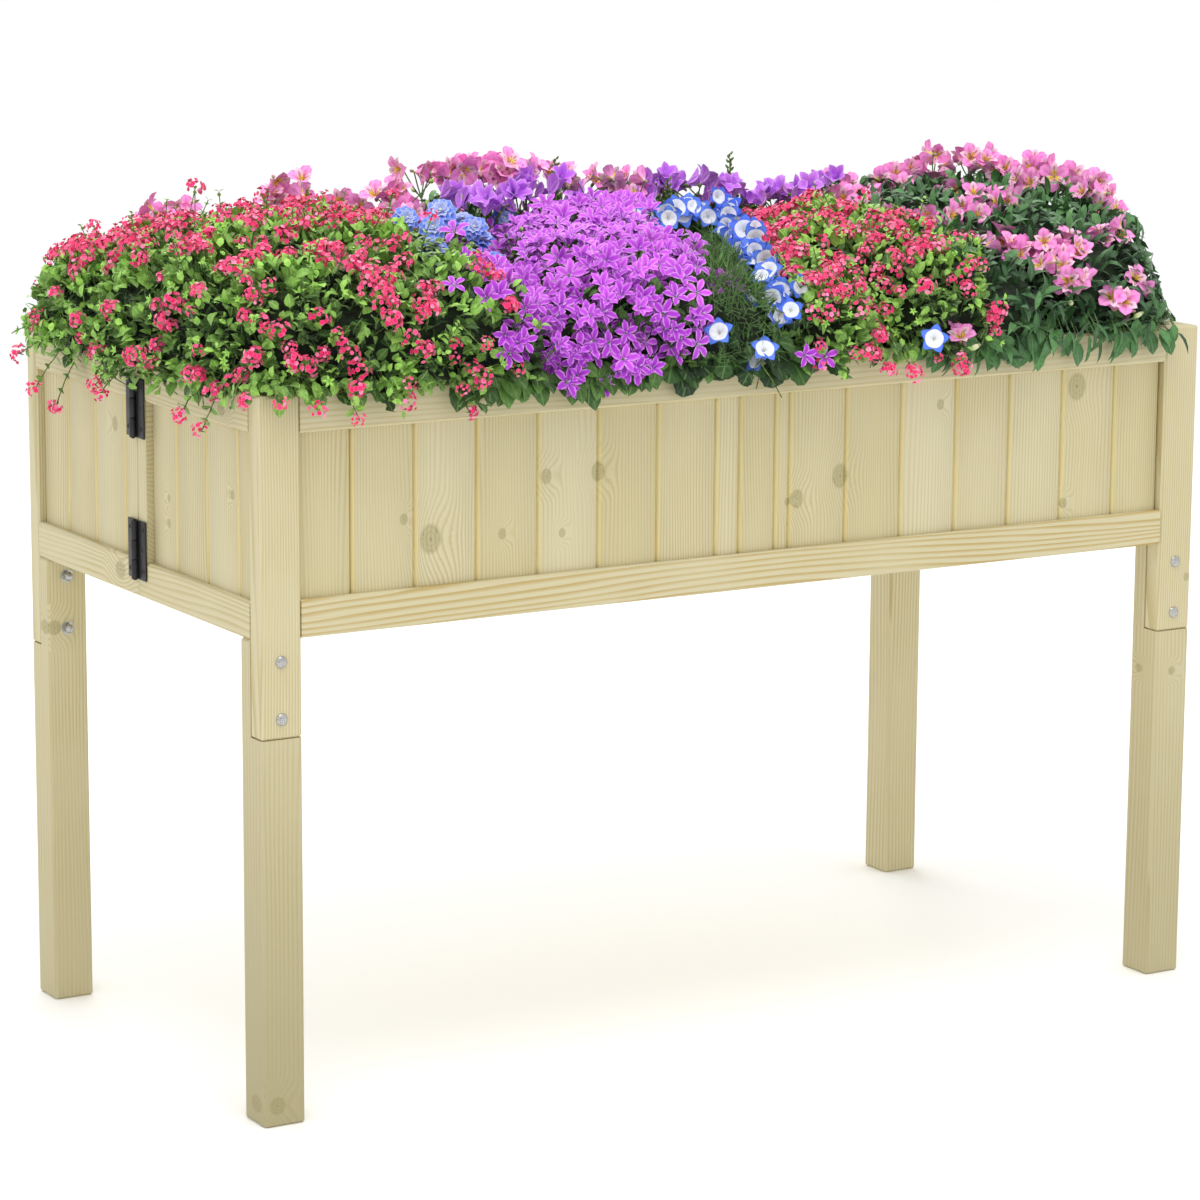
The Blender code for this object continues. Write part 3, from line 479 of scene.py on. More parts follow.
@dataclass(frozen=True)
class Petal:
    """A petal's finish: throat, body and rim colours, the streaks along it, and a darker colour for low tone, painted
    shade where the tone follows a bloom's place.
    """

    name: str
    throat: Colour
    body: Colour
    rim: Colour
    streak: Colour
    deep_and_shade: Colour
    throat_end: float = 0.3
    rim_start: float = 0.7
    streaks: float = 0.35
    streak_end: float = 1.0

    def make(self) -> Material:
        """Build the material."""
        graph = Surface(self.name, specular_ior_level=0.3, sheen_weight=0.25)
        uv = graph.node("ShaderNodeUVMap", uv_map="blade").outputs[0]
        veins = EFFECTS.use(graph, EFFECTS.blade, Blade=uv, Count=1.0, Slant=0.0)
        along, edge = veins.outputs["Along"], veins.outputs["Edge"]
        # Low tone mixes in the darker colour: painted shade where the tone follows a bloom's place, random darkening
        # where it is drawn at random.
        colour = graph.mix(graph.step(graph.attribute("tone"), 0.0, 1.0, 0.75, 0.0), self.body, self.deep_and_shade)
        rim = graph.math("MAXIMUM", graph.step(edge, self.rim_start, 1.0), graph.step(along, 0.8, 1.0, 0.0, 0.6))
        colour = graph.mix(graph.math("MULTIPLY", rim, 0.75), colour, self.rim)
        streaked = graph.noise(graph.vector("MULTIPLY", uv, (14.0, 1.6, 1.0)), 1.6, 1.5)
        lines = graph.math("MAXIMUM", graph.step(streaked, 0.5, 0.66), veins.outputs["Midrib"])
        fade = graph.step(along, self.streak_end - 0.1, self.streak_end + 0.1, 1.0, 0.0)
        lines = graph.math("MULTIPLY", lines, fade)
        colour = graph.mix(graph.math("MULTIPLY", lines, self.streaks), colour, self.streak)
        inner = graph.step(along, self.throat_end - 0.16, self.throat_end + 0.1, 1.0, 0.0)
        colour = graph.mix(inner, colour, self.throat)
        return graph.done(colour, graph.step(edge, 0.0, 1.0, 0.55, 0.45), (lines, 0.2, 0.0005))


@dataclass(frozen=True)
class Speckled:
    """A finish of two colours in irregular specks, for soil, stems, the plants' dark cores and the screws' slots
    (both painted shade), stamens, steel and cloth.
    """

    name: str
    dark: Colour
    light: Colour
    scale: float
    roughness: float
    metallic: float = 0.0
    depth: float = 0.0005
    strength: float = 0.3

    def make(self) -> Material:
        """Build the material."""
        graph = Surface(self.name, metallic=self.metallic)
        specks = graph.noise(graph.place(), self.scale, 4.0)
        rough = graph.step(specks, 0.3, 0.7, self.roughness, min(1.0, self.roughness + 0.12))
        colour = graph.mix(graph.step(specks, 0.35, 0.68), self.dark, self.light)
        return graph.done(colour, rough, (specks, self.strength, self.depth))


@dataclass(frozen=True)
class Woven:
    """A black woven liner cloth."""

    name: str
    pitch: float = 0.0016

    def make(self) -> Material:
        """Build the material."""
        graph = Surface(self.name, roughness=0.85)
        waves = [graph.math("SINE", graph.math("MULTIPLY", axis, math.tau / self.pitch))
                 for axis in graph.split(graph.place())]
        weave = graph.math("ADD", *(graph.math("MULTIPLY", waves[k], waves[2]) for k in (0, 1)))
        return graph.done(graph.mix(graph.step(weave, -1.0, 1.0), (18, 18, 19), (44, 44, 46)),
                          relief=(weave, 0.4, 0.0003))


# ---- modelling kit

def deselect() -> None:
    """Leave edit mode and deselect everything."""
    if bpy.context.object and bpy.context.object.mode != "OBJECT":
        bpy.ops.object.mode_set(mode="OBJECT")
    bpy.ops.object.select_all(action="DESELECT")


def open_all() -> None:
    """Open the active object in edit mode, with everything selected."""
    bpy.ops.object.mode_set(mode="EDIT")
    bpy.ops.mesh.select_all(action="SELECT")


def settle(piece: bpy.types.Object, name: str, replaced: str) -> None:
    """Name a finished piece, put its place in its mesh and tie it to the bed.

    Args:
        piece: The object.
        name: Its name.
        replaced: The CAD node that it stands for.
    """
    piece.data.transform(piece.matrix_world)
    piece.matrix_world = Matrix.Identity(4)
    piece.name = name
    piece.data.name = name
    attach(piece, ROOT)
    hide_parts(replaced)
    piece.data.calc_loop_triangles()
    LOG.info("%s: %d triangles", name, len(piece.data.loop_triangles))


@dataclass
class Form:
    """A small modelled shape: points, blade coordinates, triangles and a material slot for each triangle."""

    points: np.ndarray
    blade: np.ndarray
    faces: np.ndarray
    slots: np.ndarray

    @staticmethod
    def taken(slot: int = 0) -> "Form":
        """Take the active object's mesh as a form, and remove the object."""
        model = bpy.context.object
        if model.mode != "OBJECT":
            bpy.ops.object.mode_set(mode="OBJECT")
        mesh = model.data
        mesh.transform(model.matrix_world)
        mesh.calc_loop_triangles()
        points = np.array([v.co for v in mesh.vertices], float)
        faces = np.array([t.vertices for t in mesh.loop_triangles], int)
        bpy.data.objects.remove(model, do_unlink=True)
        bpy.data.meshes.remove(mesh)
        return Form(points, np.full((len(points), 2), 0.5), faces, np.full(len(faces), slot))

    @staticmethod
    def joined(parts: Iterable["Form"]) -> "Form":
        """Join several forms into one."""
        parts = list(parts)
        starts = np.cumsum([0] + [len(p.points) for p in parts[:-1]])
        return Form(np.vstack([p.points for p in parts]), np.vstack([p.blade for p in parts]),
                    np.vstack([p.faces + s for p, s in zip(parts, starts)]),
                    np.concatenate([p.slots for p in parts]))

    def moved(self, way: Matrix) -> "Form":
        """A copy carried by a matrix."""
        rows = np.array(way)
        return Form(self.points @ rows[:3, :3].T + rows[:3, 3], self.blade.copy(), self.faces, self.slots)


@dataclass(frozen=True)
class Blade:
    """A leaf or petal: its outline, fold and the curve of its midrib, from its foot along +Y."""

    length: float
    width: float
    widest: float = 0.45
    fullness: float = 0.8
    rise: float = 0.3
    fall: float = -0.5
    fold: float = 0.18
    thickness: float = 0.0006
    rings: int = 3
    teeth: float = 0.0

    def model(self, slot: int = 0) -> Form:
        """Pull a four-sided sphere into a thin folded blade.

        Args:
            slot: The material slot of its faces.

        Returns:
            The blade as a form, with u across and v along it.
        """
        deselect()
        bpy.ops.mesh.primitive_uv_sphere_add(segments=4, ring_count=self.rings + 1, radius=1.0)
        open_all()
        bpy.ops.transform.rotate(value=math.pi / 2, orient_axis="X", center_override=(0, 0, 0))
        form = Form.taken(slot)
        x, y, z = form.points.T
        reach = np.hypot(x, z)
        along = np.arccos(np.clip(-y, -1, 1)) / math.pi
        side, face = (np.where(reach > 1e-4, part / np.maximum(reach, 1e-4), 0.0) for part in (x, z))
        power = math.log(0.5) / math.log(self.widest)
        profile = np.where(reach > 1e-4, np.sin(math.pi * along ** power) ** self.fullness, 0.0)
        ring = np.rint(along * (self.rings + 1))
        half = self.width / 2 * profile * (1 + self.teeth * np.where(ring % 2 == 0, 1.0, -1.0))
        steps = np.linspace(0, 1, 33)
        angles = self.rise + (self.fall - self.rise) * steps
        forward, upward = (np.concatenate([[0], np.cumsum(way(angles[:-1]) / 32)]) * self.length
                           for way in (np.cos, np.sin))
        angle = self.rise + (self.fall - self.rise) * along
        off = self.fold * half * np.abs(side) + self.thickness / 2 * face * profile
        form.points = np.stack([side * half, np.interp(along, steps, forward) - np.sin(angle) * off,
                                np.interp(along, steps, upward) + np.cos(angle) * off], axis=1)
        form.blade = np.stack([0.5 + side / 2, along], axis=1)
        return form


def blades(*kinds: Sequence[float]) -> list[Form]:
    """Model blades that differ in size and curve, each given as Blade's own values in order."""
    return [Blade(*kind).model() for kind in kinds]


def whorl(petal: Form, count: int, turn: float = 0.0, lift: float = 0.0, out: float = 0.0,
          jitter: float = 0.0, seed: int = 0) -> Form:
    """Set petals in a ring about +Z.

    Args:
        petal: One petal, growing along +Y.
        count: How many.
        turn: The angle of the first.
        lift: Height of their feet.
        out: Distance of their feet from the axis.
        jitter: How far each may tilt, in radians.
        seed: Seed of the tilts.

    Returns:
        The ring of petals.
    """
    rng = np.random.default_rng(seed)
    ring = []
    for k in range(count):
        tilt = rng.uniform(-jitter, jitter, 2)
        way = (Matrix.Rotation(turn + math.tau * k / count, 4, "Z") @ Matrix.Translation((0, out, lift))
               @ Matrix.Rotation(tilt[0], 4, "X") @ Matrix.Rotation(tilt[1], 4, "Y"))
        ring.append(petal.moved(way))
    return Form.joined(ring)


def needle(radius: float, height: float) -> Form:
    """Model a needle: a small three-sided cone that stands on its base."""
    deselect()
    bpy.ops.mesh.primitive_cone_add(vertices=3, radius1=radius, radius2=0, depth=height,
                                    location=(0, 0, height / 2))
    return Form.taken()


def bead(sides: int, rings: int, radius: float, height: float, slot: int, lift: float = 0.0,
         waist: float = 0.0) -> Form:
    """Model a bud: a small sphere drawn out to a height, its upper part drawn in by waist.

    Args:
        sides: How many sides it has.
        rings: How many bands of faces from foot to tip.
        radius: Its half width.
        height: Its height.
        slot: The material slot of its faces.
        lift: Height of its foot.
        waist: Share by which its tip is drawn in.

    Returns:
        The bud, growing along +Z.
    """
    deselect()
    bpy.ops.mesh.primitive_uv_sphere_add(segments=sides, ring_count=rings, radius=1.0)
    open_all()
    bpy.ops.transform.resize(value=(radius, radius, height / 2), center_override=(0, 0, 0))
    bpy.ops.transform.translate(value=(0, 0, lift + height / 2))
    form = Form.taken(slot)
    share = np.clip((form.points[:, 2] - lift) / height, 0, 1)
    form.points[:, :2] *= (1 - waist * share)[:, None]
    form.blade = np.stack([np.full(len(share), 0.5), share], axis=1)
    return form


def floret(radius: float) -> Form:
    """Model a floret: a flat five-sided cone, its point inward and its face a little sunk.

    Args:
        radius: Distance from its middle to its corners.

    Returns:
        The floret, facing +Z.
    """
    deselect()
    bpy.ops.mesh.primitive_cone_add(vertices=5, radius1=radius, depth=radius * 0.7, end_fill_type="TRIFAN")
    open_all()
    bpy.ops.transform.rotate(value=math.pi, orient_axis="X", center_override=(0, 0, 0))
    form = Form.taken()
    reach = np.hypot(form.points[:, 0], form.points[:, 1])
    rim = reach > radius * 0.5
    centre = ~rim & (form.points[:, 2] > 0)
    form.points[centre, 2] = radius * 0.12
    form.blade = np.stack([np.full(len(reach), 0.5), np.where(rim, 1.0, 0.0)], axis=1)
    return form


def stalk() -> Form:
    """Model a three-sided stem of unit length and radius that stands on the origin and bows at its middle."""
    deselect()
    bpy.ops.mesh.primitive_cylinder_add(vertices=3, radius=1.0, depth=1.0, location=(0, 0, 0.5))
    open_all()
    bpy.ops.mesh.bisect(plane_co=(0, 0, 0.5), plane_no=(0, 0, 1))
    bpy.ops.mesh.select_all(action="SELECT")
    bpy.ops.transform.rotate(value=math.pi / 2, orient_axis="X", center_override=(0, 0, 0))
    form = Form.taken()
    if form.points[:, 1].min() < -0.5:
        form.points[:, 1:] *= -1
    middle = np.abs(form.points[:, 1] - 0.5) < 0.1
    form.points[middle, 0] += 1.2
    return form


class Swarm:
    """Gathers placed copies of forms, and makes one piece of them."""

    def __init__(self, canopy: "Canopy | None" = None) -> None:
        """Hold the canopy whose rules say where copies rest and which may stay."""
        self.canopy = canopy
        self.parts: list[tuple[np.ndarray, ...]] = []
        self.count = 0

    def add(self, form: Form, feet: np.ndarray, axes: np.ndarray, tones: np.ndarray) -> None:
        """Place copies of a form.

        Args:
            form: The shape.
            feet: Where each copy's origin goes, as (copies, 3).
            axes: Each copy's X, Y and Z axes as columns, as (copies, 3, 3).
            tones: Each copy's tone, from 0 to 1.
        """
        placed = np.einsum("kij,nj->kni", axes, form.points) + feet[:, None, :]
        if self.canopy:
            placed = self.canopy.rest(placed)
            stays = self.canopy.keep(placed)
            placed, tones = placed[stays], tones[stays]
        copies, size = placed.shape[:2]
        starts = self.count + np.arange(copies) * size
        faces = (form.faces[None] + starts[:, None, None]).reshape(-1, 3)
        self.parts.append((placed.reshape(-1, 3), np.tile(form.blade, (copies, 1)), np.repeat(tones, size), faces,
                           np.tile(form.slots, copies)))
        self.count += copies * size

    def build(self, name: str, materials: Sequence[Material], slot: str, replaced: str) -> None:
        """Make the piece, with its blade coordinates and tones, and tie it to the bed.

        Args:
            name: The piece's name.
            materials: Its finishes, in the order of their slots.
            slot: The record's material slot; not used.
            replaced: The CAD node that it stands for.
        """
        points, blade, tones, faces, slots = (np.concatenate(parts) for parts in zip(*self.parts))
        mesh = bpy.data.meshes.new(name)
        mesh.vertices.add(len(points))
        mesh.vertices.foreach_set("co", points.astype(np.float32).ravel())
        mesh.loops.add(faces.size)
        mesh.loops.foreach_set("vertex_index", faces.astype(np.int32).ravel())
        mesh.polygons.add(len(faces))
        mesh.polygons.foreach_set("loop_start", np.arange(0, faces.size, 3, dtype=np.int32))
        mesh.polygons.foreach_set("material_index", slots.astype(np.int32))
        mesh.update(calc_edges=True)
        layer = mesh.uv_layers.new(name="blade")
        layer.data.foreach_set("uv", blade[faces.ravel()].astype(np.float32).ravel())
        tone = mesh.attributes.new("tone", "FLOAT", "POINT")
        tone.data.foreach_set("value", tones.astype(np.float32))
        mesh.shade_smooth()
        mesh.set_sharp_from_angle(angle=math.radians(70))
        for material in materials:
            mesh.materials.append(material)
        piece = bpy.data.objects.new(name, mesh)
        bpy.context.scene.collection.objects.link(piece)
        settle(piece, name, replaced)


def unit(vectors: np.ndarray) -> np.ndarray:
    """Scale vectors to unit length."""
    return vectors / np.maximum(np.linalg.norm(vectors, axis=-1, keepdims=True), 1e-9)


def axes_from(growth: np.ndarray, upper: np.ndarray, sizes: np.ndarray) -> np.ndarray:
    """Axes for copies that grow along one direction and turn their upper face to another.

    Args:
        growth: Directions for +Y.
        upper: Directions that +Z leans to.
        sizes: Scale of each copy.

    Returns:
        The axes as columns, as (copies, 3, 3).
    """
    along = unit(growth)
    up = unit(upper - along * np.sum(upper * along, axis=1, keepdims=True))
    across = np.cross(along, up)
    return np.stack([across, along, up], axis=2) * sizes[:, None, None]


def axes_about(axis: np.ndarray, turns: np.ndarray, sizes: np.ndarray) -> np.ndarray:
    """Axes for copies whose +Z goes along axis, turned about it.

    Args:
        axis: Directions for +Z.
        turns: Angle of each copy about its +Z.
        sizes: Scale of each copy.

    Returns:
        The axes as columns, as (copies, 3, 3).
    """
    up = unit(axis)
    helper = np.where(np.abs(up[:, 2:3]) < 0.9, np.array([[0.0, 0.0, 1.0]]), np.array([[1.0, 0.0, 0.0]]))
    first = unit(np.cross(helper, up))
    second = np.cross(up, first)
    cos, sin = np.cos(turns)[:, None], np.sin(turns)[:, None]
    return np.stack([first * cos + second * sin, second * cos - first * sin, up], axis=2) * sizes[:, None, None]


def pick(kind: str, test: Callable[[object, Vector], bool]) -> None:
    """Select only the parts of the mesh in edit mode that pass a test.

    Args:
        kind: VERT, EDGE or FACE.
        test: Says of a part and its centre whether it is selected.
    """
    bpy.ops.mesh.select_mode(type=kind)
    bpy.ops.mesh.select_all(action="DESELECT")
    mesh = bpy.context.object.data
    shell = bmesh.from_edit_mesh(mesh)
    parts = {"VERT": shell.verts, "EDGE": shell.edges, "FACE": shell.faces}[kind]
    for part in parts:
        corners = [part] if kind == "VERT" else part.verts
        centre = sum((v.co for v in corners), Vector()) / len(corners)
        part.select_set(bool(test(part, centre)))
    shell.select_flush_mode()
    bmesh.update_edit_mesh(mesh)


def turned(profile: Sequence[Span], sides: int = 24) -> Form:
    """Turn a part about +Z: a filled circle that is extruded and resized up a profile.

    Args:
        profile: (radius, height) from foot to top, the heights different.
        sides: Sides of the circle.

    Returns:
        The part as a form.
    """
    deselect()
    radius, height = profile[0]
    bpy.ops.mesh.primitive_circle_add(vertices=sides, radius=radius, fill_type="NGON", location=(0, 0, height))
    open_all()
    for (wide, low), (narrow, high) in zip(profile, profile[1:]):
        bpy.ops.mesh.extrude_region_move(TRANSFORM_OT_translate={"value": (0, 0, high - low)})
        share = narrow / wide
        bpy.ops.transform.resize(value=(share, share, 1), center_override=(0, 0, high))
    bpy.ops.mesh.select_all(action="SELECT")
    bpy.ops.mesh.normals_make_consistent(inside=False)
    return Form.taken()


def plank(size: Vec, place: Vec = (0, 0, 0), slot: int = 0, bevel: float = 0.0,
          chosen: Callable[[object, Vector], bool] | None = None, segments: int = 2) -> Form:
    """Model a small block with some of its edges bevelled.

    Args:
        size: Its width, depth and height.
        place: Its centre.
        slot: The material slot of its faces.
        bevel: Width of the bevel.
        chosen: Says of an edge and its centre whether it is bevelled; all of them if not given.
        segments: Steps of the bevel.

    Returns:
        The block as a form.
    """
    deselect()
    bpy.ops.mesh.primitive_cube_add(size=1.0, location=place)
    open_all()
    bpy.ops.transform.resize(value=size, center_override=place)
    if bevel:
        pick("EDGE", chosen or (lambda part, centre: True))
        bpy.ops.mesh.bevel(offset=bevel, segments=segments, affect="EDGES")
    return Form.taken(slot)


def single(swarm: Swarm, form: Form, tone: float = 0.5) -> None:
    """Put one copy of a form in a swarm, where it stands."""
    swarm.add(form, np.zeros((1, 3)), np.eye(3)[None], np.array([tone]))


# ---- the box

def paint(node: str, material: Material) -> None:
    """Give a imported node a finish."""
    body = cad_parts[node]
    if not body.material_slots:
        body.data.materials.append(material)
    for slot in body.material_slots:
        slot.material = material


@dataclass
class TimberBox:
    """The wooden box on its legs: packed timbers with their grain, and separately fitted boards."""

    pitch: float = 0.0755
    left_run: float = -0.5034
    right_run: float = 0.047
    middle: Span = (-0.019, 0.028)
    half_joints: Vec = (0.0507, 0.129, 0.2038)
    front_half_joints: Vec = (-0.0832, -0.1581, -0.234)
    gap: float = 0.0007
    vee: float = 0.0038
    # Strength of the painted shade at the foot of each leg.
    painted_foot_shade: dict[str, float] = field(default_factory=lambda: {
        "leg_front_left": 0.72, "leg_front_right": 0.5, "leg_rear_left": 0.4, "leg_rear_right": 0.05})
    knots: dict[str, tuple[Knot, ...]] = field(default_factory=lambda: {
        "front_boards": (
            Knot((-0.441, 0, 0.643), 0.0044), Knot((-0.409, 0, 0.619), 0.0115), Knot((-0.3215, 0, 0.617), 0.0044),
            Knot((-0.267, 0, 0.675), 0.0061), Knot((-0.247, 0, 0.6115), 0.0037), Knot((-0.202, 0, 0.675), 0.0077),
            Knot((0.057, 0, 0.6235), 0.0077), Knot((0.045, 0, 0.621), 0.0037), Knot((0.115, 0, 0.645), 0.0099),
            Knot((0.251, 0, 0.7165), 0.0044), Knot((0.4445, 0, 0.7236), 0.0115), Knot((0.4296, 0, 0.588), 0.0044)),
        "front_rail_top": (Knot((-0.47, 0, 0.757), 0.0088),),
        "front_rail_bottom": (Knot((0.317, 0, 0.5595), 0.0025), Knot((-0.258, 0, 0.5545), 0.0032),
                              Knot((0.3775, 0, 0.5505), 0.0025)),
        "leg_front_left": (Knot((-0.6, -0.3, 0.023), 0.0068),),
        "leg_front_right": (Knot((0.609, -0.3, 0.4377), 0.0037), Knot((0.591, -0.3, 0.373), 0.0037)),
        "post_front_right": (Knot((0.6085, -0.3, 0.4854), 0.0037), Knot((0.5761, -0.3, 0.7691), 0.0019)),
        "leg_rear_left": (Knot((-0.615, 0.262, 0.446), 0.0061),),
        "left_rear_boards": (Knot((0, 0.0757, 0.708), 0.0061),),
        "left_front_boards": (Knot((0, -0.22, 0.672), 0.0037), Knot((0, -0.0625, 0.645), 0.0031),
                              Knot((0, -0.062, 0.617), 0.0037)),
        "left_rear_frame": (Knot((-0.607, 0.0483, 0.5467), 0.0092),),
        "left_front_frame": (Knot((-0.607, -0.2119, 0.7598), 0.0061),),
        "rear_boards": (Knot((-0.33, 0, 0.66), 0.0092), Knot((0.12, 0, 0.6), 0.0077), Knot((0.4, 0, 0.7), 0.0061)),
        "right_front_boards": (Knot((0, -0.12, 0.64), 0.0077),),
    })

    def grain(self, node: str, run: Run, shift: float, **settings: object) -> None:
        """Give a packed timber its grain, its knots and the painted shade at its foot."""
        paint(node, Softwood(node, run, shift=shift, knots=self.knots.get(node, ()), painted_foot_shade=self.painted_foot_shade.get(node, 0.0),
                             **settings).make())

    def dress(self) -> None:
        """Give every packed timber its own grain."""
        shift = 0.0
        for part, run, spacing, figure in (("leg", Run.UPRIGHT_POST, 260.0, 7.0),
                                           ("post", Run.UPRIGHT_FACE, 280.0, 8.0)):
            for corner in ("front_left", "front_right", "rear_left", "rear_right"):
                shift += 1.7
                self.grain(f"{part}_{corner}", run, shift, spacing=spacing, figure=figure)
        for side in ("front", "rear"):
            for level, late, spacing, figure in (("bottom", (180, 155, 90), 150.0, 13.0),
                                                 ("top", (192, 181, 136), 110.0, 9.0)):
                shift += 2.3
                self.grain(f"{side}_rail_{level}", Run.LONG, shift, late=late, spacing=spacing, figure=figure)
            self.grain(f"floor_bearer_{side}", Run.LONG, shift + 0.9)
        for end in ("left", "right"):
            for half in ("front", "rear"):
                shift += 1.9
                self.grain(f"{end}_{half}_frame", Run.CROSSWISE, shift, spacing=190.0, figure=8.0,
                           stile=(0.0203, 0.567, 0.7455))
        self.grain("floor_board", Run.LONG, 4.4, spacing=50.0, figure=7.0)

    def fit_boards(self, node: str, joints: Sequence[float], run: Run) -> None:
        """Fit tongued and grooved boards in the place of a packed panel.

        Args:
            node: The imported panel.
            joints: The joints between the boards, from one end to the other.
            run: UPRIGHT_FACE for a long panel, UPRIGHT_END for an end panel.
        """
        low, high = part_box(node)
        axis = 0 if run is Run.UPRIGHT_FACE else 1
        depth = high[1 - axis] - low[1 - axis]
        middle = (low[1 - axis] + high[1 - axis]) / 2
        outward = math.copysign(1.0, middle)
        turn = {(0, -1.0): 0.0, (0, 1.0): math.pi, (1, -1.0): -math.pi / 2, (1, 1.0): math.pi / 2}[(axis, outward)]
        bounds = [low[axis], *joints, high[axis]]
        boards = Swarm()
        rng = np.random.default_rng(len(bounds) + int(1000 * abs(middle)))
        for start, end in zip(bounds, bounds[1:]):
            width = end - start - self.gap
            height = high.z - low.z
            board = plank((width, depth, height), bevel=self.vee,
                          chosen=lambda part, centre: centre.y < -depth * 0.4 and abs(centre.x) > width * 0.4,
                          segments=1)
            tongue = plank((self.gap, depth * 0.4, height - 0.002), (width / 2 + self.gap / 2, 0, 0))
            spot = [0.0, 0.0, (low.z + high.z) / 2]
            spot[axis], spot[1 - axis] = (start + end) / 2, middle
            way = Matrix.Translation(spot) @ Matrix.Rotation(turn, 4, "Z")
            last = end == bounds[-1] or start == bounds[0]
            fitted = board if last else Form.joined([board, tongue])
            single(boards, fitted.moved(way), rng.uniform(0, 1))
        finish = Softwood(f"{node}_wood", run, spacing=240.0, figure=12.0, shift=middle * 7, toned=True,
                          knots=self.knots.get(node, ())).make()
        boards.build(f"{node}_fitted", [finish], "board_wood", node)

    def build(self) -> None:
        """Dress the timbers and fit all six sets of boards."""
        self.dress()
        long_joints = [self.left_run + self.pitch * k for k in range(7)]
        long_joints += [*self.middle] + [self.right_run + self.pitch * k for k in range(7)]
        for side in ("front", "rear"):
            self.fit_boards(f"{side}_boards", long_joints, Run.UPRIGHT_FACE)
        for end in ("left", "right"):
            self.fit_boards(f"{end}_rear_boards", self.half_joints, Run.UPRIGHT_END)
            self.fit_boards(f"{end}_front_boards", sorted(self.front_half_joints), Run.UPRIGHT_END)


